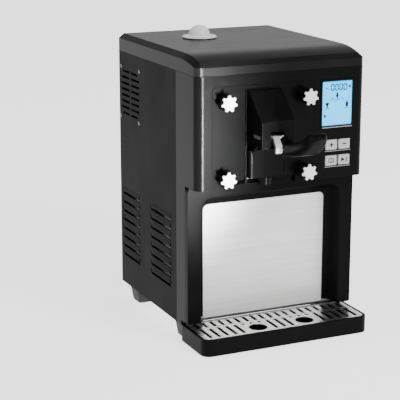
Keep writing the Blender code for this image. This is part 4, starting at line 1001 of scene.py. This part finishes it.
class SERVE_OT_knobs(bpy.types.Operator):
    """Moulds the star knobs with their pale caps"""

    bl_idname = "serve.knobs"
    bl_label = "Star Knobs"

    def star(self, name, centre, front, back, radius, lobes):
        """A bar with round notches between its lobes."""
        depth = back - front
        bar = drum(name, (centre.x, (front + back) / 2, centre.z), radius, depth, "Y", 84)
        tools = []
        for k in range(lobes):
            angle = 2 * math.pi * (k + 0.5) / lobes
            spot = (centre.x + radius * 1.04 * math.sin(angle), (front + back) / 2,
                    centre.z + radius * 1.04 * math.cos(angle))
            tools.append(drum("notch", spot, radius * 0.315, depth * 1.4, "Y", 20))
        return carve(bar, gather("notches", tools))

    def execute(self, context):
        sizes = context.scene.serve_sizes
        first = "star_knob_upper_left"
        corner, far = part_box(first)
        radius = (far.x - corner.x) / 2 + 0.0003
        centre = Vector((middle(first).x, 0.0, far.z - radius))
        split = corner.y + sizes.knob_cap
        body = self.star("knob_body", centre, split, far.y - 0.0030, radius * 0.985, sizes.knob_lobes)
        eased(body, 0.0005, 2, 40.0)
        collar = drum("collar", (centre.x, far.y - 0.0018, centre.z), radius * 0.62, 0.0034, "Y", 40)
        body = gather("knob_body", [body, eased(collar, 0.0003, 2, 40.0)])
        cap = self.star("knob_cap", centre, corner.y, split - 0.0001, radius, sizes.knob_lobes)
        eased(cap, 0.0007, 3, 40.0)
        with Shaping(cap) as shape:
            shape.pick(lambda face: face.normal.y < -0.99 and face.calc_area() > 0.0001)
            bpy.ops.mesh.inset(thickness=0.0010, depth=-0.00025)
        for height in ("upper", "lower"):
            for hand in ("left", "right"):
                node = f"star_knob_{height}_{hand}"
                shift = low(node) - corner
                one = copied(body, f"knob_body_{height}_{hand}", shift)
                dress(one, node, knob_black, True)
                dress(copied(cap, f"knob_cap_{height}_{hand}", shift), node, knob_face)
        bpy.data.objects.remove(body)
        bpy.data.objects.remove(cap)
        return {"FINISHED"}


class SERVE_OT_lever(bpy.types.Operator):
    """Shapes the draw lever and its grip"""

    bl_idname = "serve.lever"
    bl_label = "Draw Lever"

    def execute(self, context):
        arm = from_frame("lever_arm", "lever_bar", 0.0007, 3, 35.0)
        dress(arm, "lever_arm", polished_steel)
        grip = from_frame("lever_grip", "grip_paddle", 0.0030, 5, 50.0)
        dress(smooth(grip, 60.0), "lever_grip", grip_plastic)
        return {"FINISHED"}


class SERVE_OT_display(bpy.types.Operator):
    """Draws the display's segments and signs and fits its bezel and lip"""

    bl_idname = "serve.display"
    bl_label = "Display"

    def bar(self, start, end, width):
        """One segment between two points of the glass, with pointed ends."""
        start, end = Vector((start[0], 0.0, start[1])), Vector((end[0], 0.0, end[1]))
        length = (end - start).length
        glass = low("display_module").y
        piece = block("segment", (0.0, glass - 0.00016, -width / 2), (length, glass - 0.00002, width / 2))
        with Shaping(piece, "EDGE") as shape:
            shape.pick(lambda edge: abs(edge.verts[0].co.y - edge.verts[1].co.y) > 0.0001)
            bpy.ops.mesh.bevel(offset=width * 0.30, segments=1)
        turn = math.atan2(end.z - start.z, end.x - start.x)
        piece.rotation_euler = (0.0, -turn, 0.0)
        piece.location = start
        return settle(piece)

    def digit(self, mark, x, z, height):
        """One seven-segment digit with its lower left corner at a point."""
        wide, half, stroke = height * 0.52, height / 2, context_sizes().stroke
        gap = stroke * 0.15
        runs = {"a": ((gap, height), (wide - gap, height)), "b": ((wide, height - gap), (wide, half + gap)),
                "c": ((wide, half - gap), (wide, gap)), "d": ((gap, 0.0), (wide - gap, 0.0)),
                "e": ((0.0, gap), (0.0, half - gap)), "f": ((0.0, half + gap), (0.0, height - gap)),
                "g": ((gap, half), (wide - gap, half))}
        lit = {"0": "abcdef", "1": "bc", "2": "abdeg", "3": "abcdg", "4": "bcfg", "5": "acdfg", "6": "acdefg",
               "7": "abc", "8": "abcdefg", "9": "abcdfg"}[mark]
        ends = [runs[letter] for letter in lit]
        return [self.bar((x + start[0], z + start[1]), (x + end[0], z + end[1]), stroke)
                for start, end in ends]

    def wedge(self, x, z, top, bottom, height):
        """A filled sign that narrows or widens from its top to its bottom."""
        glass = low("display_module").y
        piece = block("wedge", (x - top / 2, glass - 0.00016, z), (x + top / 2, glass - 0.00002, z + height))
        with Shaping(piece) as shape:
            shape.pick(lambda face: face.normal.z < -0.5)
            bpy.ops.transform.resize(value=(bottom / top, 1.0, 1.0), center_override=(x, glass, z))
        return eased(piece, 0.00003, 1, 60.0)

    def execute(self, context):
        sizes = context.scene.serve_sizes
        corner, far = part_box("display_module")
        centre = middle("display_module")
        height = sizes.digit_height
        signs = []
        pitch = height * 0.82
        x, z = centre.x - 0.0105, far.z - height - 0.0050
        for mark in sizes.reading:
            signs += self.digit(mark, x, z, height)
            x += pitch
        flake = (x + height * 0.34, z + height * 0.52)
        for k in range(3):
            angle = math.radians(30 + 60 * k)
            reach = (height * 0.34 * math.cos(angle), height * 0.34 * math.sin(angle))
            signs.append(self.bar((flake[0] - reach[0], flake[1] - reach[1]),
                                  (flake[0] + reach[0], flake[1] + reach[1]), sizes.stroke * 0.6))
        thin = sizes.stroke * 0.55
        left = corner.x + 0.0055
        signs.append(self.bar((left, z + 0.0050), (left + 0.0030, z + 0.0030), thin * 1.6))
        signs.append(self.bar((left + 0.0034, z + 0.0024), (left + 0.0062, z + 0.0006), thin * 1.2))
        cone_z = z - 0.0130
        signs.append(self.wedge(centre.x, cone_z, 0.0052, 0.0008, 0.0058))
        signs.append(self.wedge(centre.x, cone_z + 0.0060, 0.0010, 0.0040, 0.0040))
        signs.append(self.bar((centre.x - 0.0052, cone_z - 0.0014),
                              (centre.x + 0.0052, cone_z - 0.0014), thin))
        for sign in (-1, 1):
            signs.append(self.bar((centre.x + sign * 0.0065, cone_z + 0.0022),
                                  (centre.x + sign * 0.0120, cone_z - 0.0022), thin))
        cup_z = cone_z - 0.0130
        signs.append(self.wedge(centre.x - 0.0170, cup_z + 0.0030, 0.0066, 0.0030, 0.0046))
        signs.append(self.wedge(centre.x - 0.0170, cup_z, 0.0014, 0.0034, 0.0030))
        signs.append(self.bar((centre.x - 0.0205, cup_z - 0.0016), (centre.x - 0.0125, cup_z - 0.0016), thin))
        signs.append(self.wedge(centre.x + 0.0170, cup_z, 0.0040, 0.0040, 0.0070))
        signs.append(self.bar((centre.x + 0.0138, cup_z + 0.0084), (centre.x + 0.0202, cup_z + 0.0084), thin))
        signs.append(self.bar((centre.x + 0.0135, cup_z - 0.0016), (centre.x + 0.0205, cup_z - 0.0016), thin))
        signs.append(self.wedge(corner.x + 0.0050, corner.z + 0.0130, 0.0030, 0.0030, 0.0042))
        dress(gather("display_signs", signs), "display_module", segment_ink)

        from_frame("display_bezel", "display_surround", sizes.mould_radius * 0.5, 2, 40.0)
        bezel_low, bezel_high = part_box("display_bezel")
        lip = block("lip", (bezel_low.x + 0.0030, bezel_low.y - 0.0002, bezel_low.z + 0.0006),
                    (bezel_high.x - 0.0030, bezel_low.y + 0.0010, bezel_low.z + 0.0021))
        dress(eased(lip, 0.0003, 2), "display_bezel", lip_plastic)
        bpy.context.object.name = "display_lip"
        return {"FINISHED"}


class SERVE_OT_keys(bpy.types.Operator):
    """Rounds the key caps, prints their signs and fits the lips under the rows"""

    bl_idname = "serve.keys"
    bl_label = "Keys"

    def stroke(self, node, start, end, width=0.0009):
        """One printed stroke on a key, between two points measured from its middle."""
        centre, face = middle(node), low(node).y
        corner = (min(start[0], end[0]) - width / 2, min(start[1], end[1]) - width / 2)
        far = (max(start[0], end[0]) + width / 2, max(start[1], end[1]) + width / 2)
        piece = block("stroke", (centre.x + corner[0], face - 0.00010, centre.z + corner[1]),
                      (centre.x + far[0], face + 0.00010, centre.z + far[1]))
        return eased(piece, 0.00006, 1, 60.0)

    def arrow(self, node, x, half):
        """A filled arrow head that points right."""
        centre, face = middle(node), low(node).y
        piece = block("arrow", (centre.x + x, face - 0.00010, centre.z - half),
                      (centre.x + x + half * 1.7, face + 0.00010, centre.z + half))
        with Shaping(piece) as shape:
            shape.pick(lambda face: face.normal.x > 0.5)
            bpy.ops.transform.resize(value=(1.0, 1.0, 0.06), center_override=tuple(centre))
        return piece

    def execute(self, context):
        runs = {
            "key_plus": (((-0.0026, 0.0), (0.0026, 0.0)), ((0.0, -0.0026), (0.0, 0.0026))),
            "key_minus": (((-0.0026, 0.0), (0.0026, 0.0)),),
            "key_menu": (((-0.0042, -0.0026), (-0.0042, 0.0028)), ((0.0042, -0.0026), (0.0042, 0.0028)),
                         ((0.0, -0.0034), (0.0, 0.0022)), ((-0.0042, 0.0028), (-0.0006, 0.0028)),
                         ((0.0006, 0.0028), (0.0042, 0.0028)), ((-0.0042, -0.0028), (-0.0006, -0.0028)),
                         ((0.0006, -0.0028), (0.0042, -0.0028))),
            "key_start": (((0.0034, -0.0030), (0.0034, 0.0030)), ((0.0052, -0.0030), (0.0052, 0.0030))),
        }
        for node, strokes in runs.items():
            from_frame(node, f"{node}_cap", 0.0009, 3, 40.0)
            width = 0.0017 if node in ("key_plus", "key_minus") else 0.0011
            signs = [self.stroke(node, start, end, width) for start, end in strokes]
            if node == "key_start":
                signs.append(self.arrow(node, -0.0048, 0.0034))
            dress(gather(f"{node}_sign", signs), node, key_ink)
        lips = []
        for left, right in (("key_menu", "key_start"), ("key_plus", "key_minus")):
            base = low(left).z - 0.0014
            lip = block("lip", (low(left).x - 0.0012, FACE - 0.0011, base - 0.0011),
                        (high(right).x + 0.0012, FACE + 0.0002, base))
            lips.append(eased(lip, 0.0003, 2))
        dress(gather("key_lips", lips), "front_housing", lip_plastic)
        return {"FINISHED"}


class SERVE_OT_rear(bpy.types.Operator):
    """Fits the rear screws and the inlet's blades"""

    bl_idname = "serve.rear"
    bl_label = "Rear"

    def execute(self, context):
        sizes = context.scene.serve_sizes
        corner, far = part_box("rear_panel")
        heads = []
        for x in (corner.x + 0.009, far.x - 0.009):
            for z in (corner.z + 0.012, (corner.z + far.z) / 2, far.z - 0.012):
                heads.append(screw("case_screw", (x, BACK, z), "Y", 1, sizes.screw_radius, 0.0016))
        dress(gather("case_screws", heads), "rear_panel", screw_steel)
        from_frame("power_inlet", "inlet_body", 0.0005, 2, 40.0)
        from_frame("switch_housing", "switch_frame", 0.0004, 2, 40.0)
        from_frame("rocker_switch", "rocker_cap", 0.0004, 2, 40.0)
        inlet = middle("power_inlet")
        mouth = high("power_inlet").y
        blades = []
        for x, z in ((-0.0070, -0.0015), (0.0, 0.0025), (0.0070, -0.0015)):
            blade = block("blade", (inlet.x + x - 0.0010, mouth - 0.0190, inlet.z + z - 0.0020),
                          (inlet.x + x + 0.0010, mouth - 0.0030, inlet.z + z + 0.0020))
            blades.append(eased(blade, 0.0004, 2))
        dress(gather("inlet_blades", blades), "power_inlet", zinc_plate)
        return {"FINISHED"}


class SERVE_OT_stage(bpy.types.Operator):
    """Lays the floor and sets up the soft light and the camera"""

    bl_idname = "serve.stage"
    bl_label = "Stage"

    def soft_box(self, name, place, target, size, power, spread=180.0):
        """An area light that faces a target, with its beam held to a spread in degrees."""
        light = bpy.data.lights.new(name, "AREA")
        light.shape = "RECTANGLE"
        light.size, light.size_y = size
        light.energy = power
        light.spread = math.radians(spread)
        lamp = bpy.data.objects.new(name, light)
        lamp.visible_camera = False
        lamp.location = place
        lamp.rotation_euler = (Vector(target) - Vector(place)).to_track_quat("-Z", "Y").to_euler()
        bpy.context.scene.collection.objects.link(lamp)

    def execute(self, context):
        stage = context.scene.serve_stage
        if stage.show_floor:
            floor = block("studio_floor", (-6.0, -6.0, -0.02), (6.0, 6.0, 0.0))
            with Shaping(floor) as shape:
                shape.pick(lambda face: face.normal.z > 0.5)
                bpy.ops.mesh.subdivide(number_cuts=3)
            floor.data.materials.append(material(studio_floor))
        world = bpy.data.worlds.new("studio")
        world.use_nodes = True
        sky = world.node_tree.nodes["Background"]
        sky.inputs["Color"].default_value = (1.0, 1.0, 1.0, 1.0)
        sky.inputs["Strength"].default_value = stage.world_light
        context.scene.world = world
        aim = (0.0, 0.0, 0.22)
        self.soft_box("key", (0.5, -1.5, 1.5), aim, (0.9, 0.5), stage.key_light)
        self.soft_box("side", (-1.6, 0.2, 1.8), (0.0, 0.0, 0.4), (1.2, 1.0), stage.side_light)
        self.soft_box("rear", (1.0, 2.3, 1.05), aim, (1.8, 0.5), stage.rear_light)
        self.soft_box("strip", (-0.03, -0.98, 0.12), (low("top_cover").x, FACE, 0.33), (0.05, 0.24),
                      stage.strip_light, 16.0)
        camera = bpy.data.cameras.new("camera")
        camera.lens = stage.lens
        camera.sensor_width = 36.0
        viewer = bpy.data.objects.new("camera", camera)
        viewer.location = stage.camera_place
        viewer.rotation_euler = (math.pi / 2 - stage.camera_down, 0.0, -stage.camera_round)
        context.scene.collection.objects.link(viewer)
        context.scene.camera = viewer
        return {"FINISHED"}



# ---------------------------------------------------------------- panel and registration

class SERVE_PT_panel(bpy.types.Panel):
    """The machine's pieces, sizes and colours in the sidebar"""

    bl_label = "Soft Serve Machine"
    bl_idname = "SERVE_PT_panel"
    bl_space_type = "VIEW_3D"
    bl_region_type = "UI"
    bl_category = "Soft Serve"

    def draw(self, context):
        for piece in PIECES:
            self.layout.operator(piece.bl_idname)
        for group in (context.scene.serve_sizes, context.scene.serve_look, context.scene.serve_stage):
            box = self.layout.box()
            for label in group.__annotations__:
                box.prop(group, label)


PIECES = (SERVE_OT_finishes, SERVE_OT_cover, SERVE_OT_sides, SERVE_OT_front, SERVE_OT_tray, SERVE_OT_door,
          SERVE_OT_knobs, SERVE_OT_lever, SERVE_OT_display, SERVE_OT_keys, SERVE_OT_rear, SERVE_OT_stage)
GROUPS = (SERVE_PG_look, SERVE_PG_sizes, SERVE_PG_stage)


def register():
    """Registers the classes and hangs the settings on the scene."""
    for item in (*GROUPS, *PIECES, SERVE_PT_panel):
        bpy.utils.register_class(item)
    bpy.types.Scene.serve_look = PointerProperty(type=SERVE_PG_look)
    bpy.types.Scene.serve_sizes = PointerProperty(type=SERVE_PG_sizes)
    bpy.types.Scene.serve_stage = PointerProperty(type=SERVE_PG_stage)


def unregister():
    """Takes the settings and the classes away again."""
    del bpy.types.Scene.serve_stage
    del bpy.types.Scene.serve_sizes
    del bpy.types.Scene.serve_look
    for item in (SERVE_PT_panel, *reversed(PIECES), *reversed(GROUPS)):
        bpy.utils.unregister_class(item)


def main():
    """Builds every piece in order."""
    register()
    for piece in PIECES:
        group, name = piece.bl_idname.split(".")
        getattr(getattr(bpy.ops, group), name)()


if __name__ == "__main__":
    main()
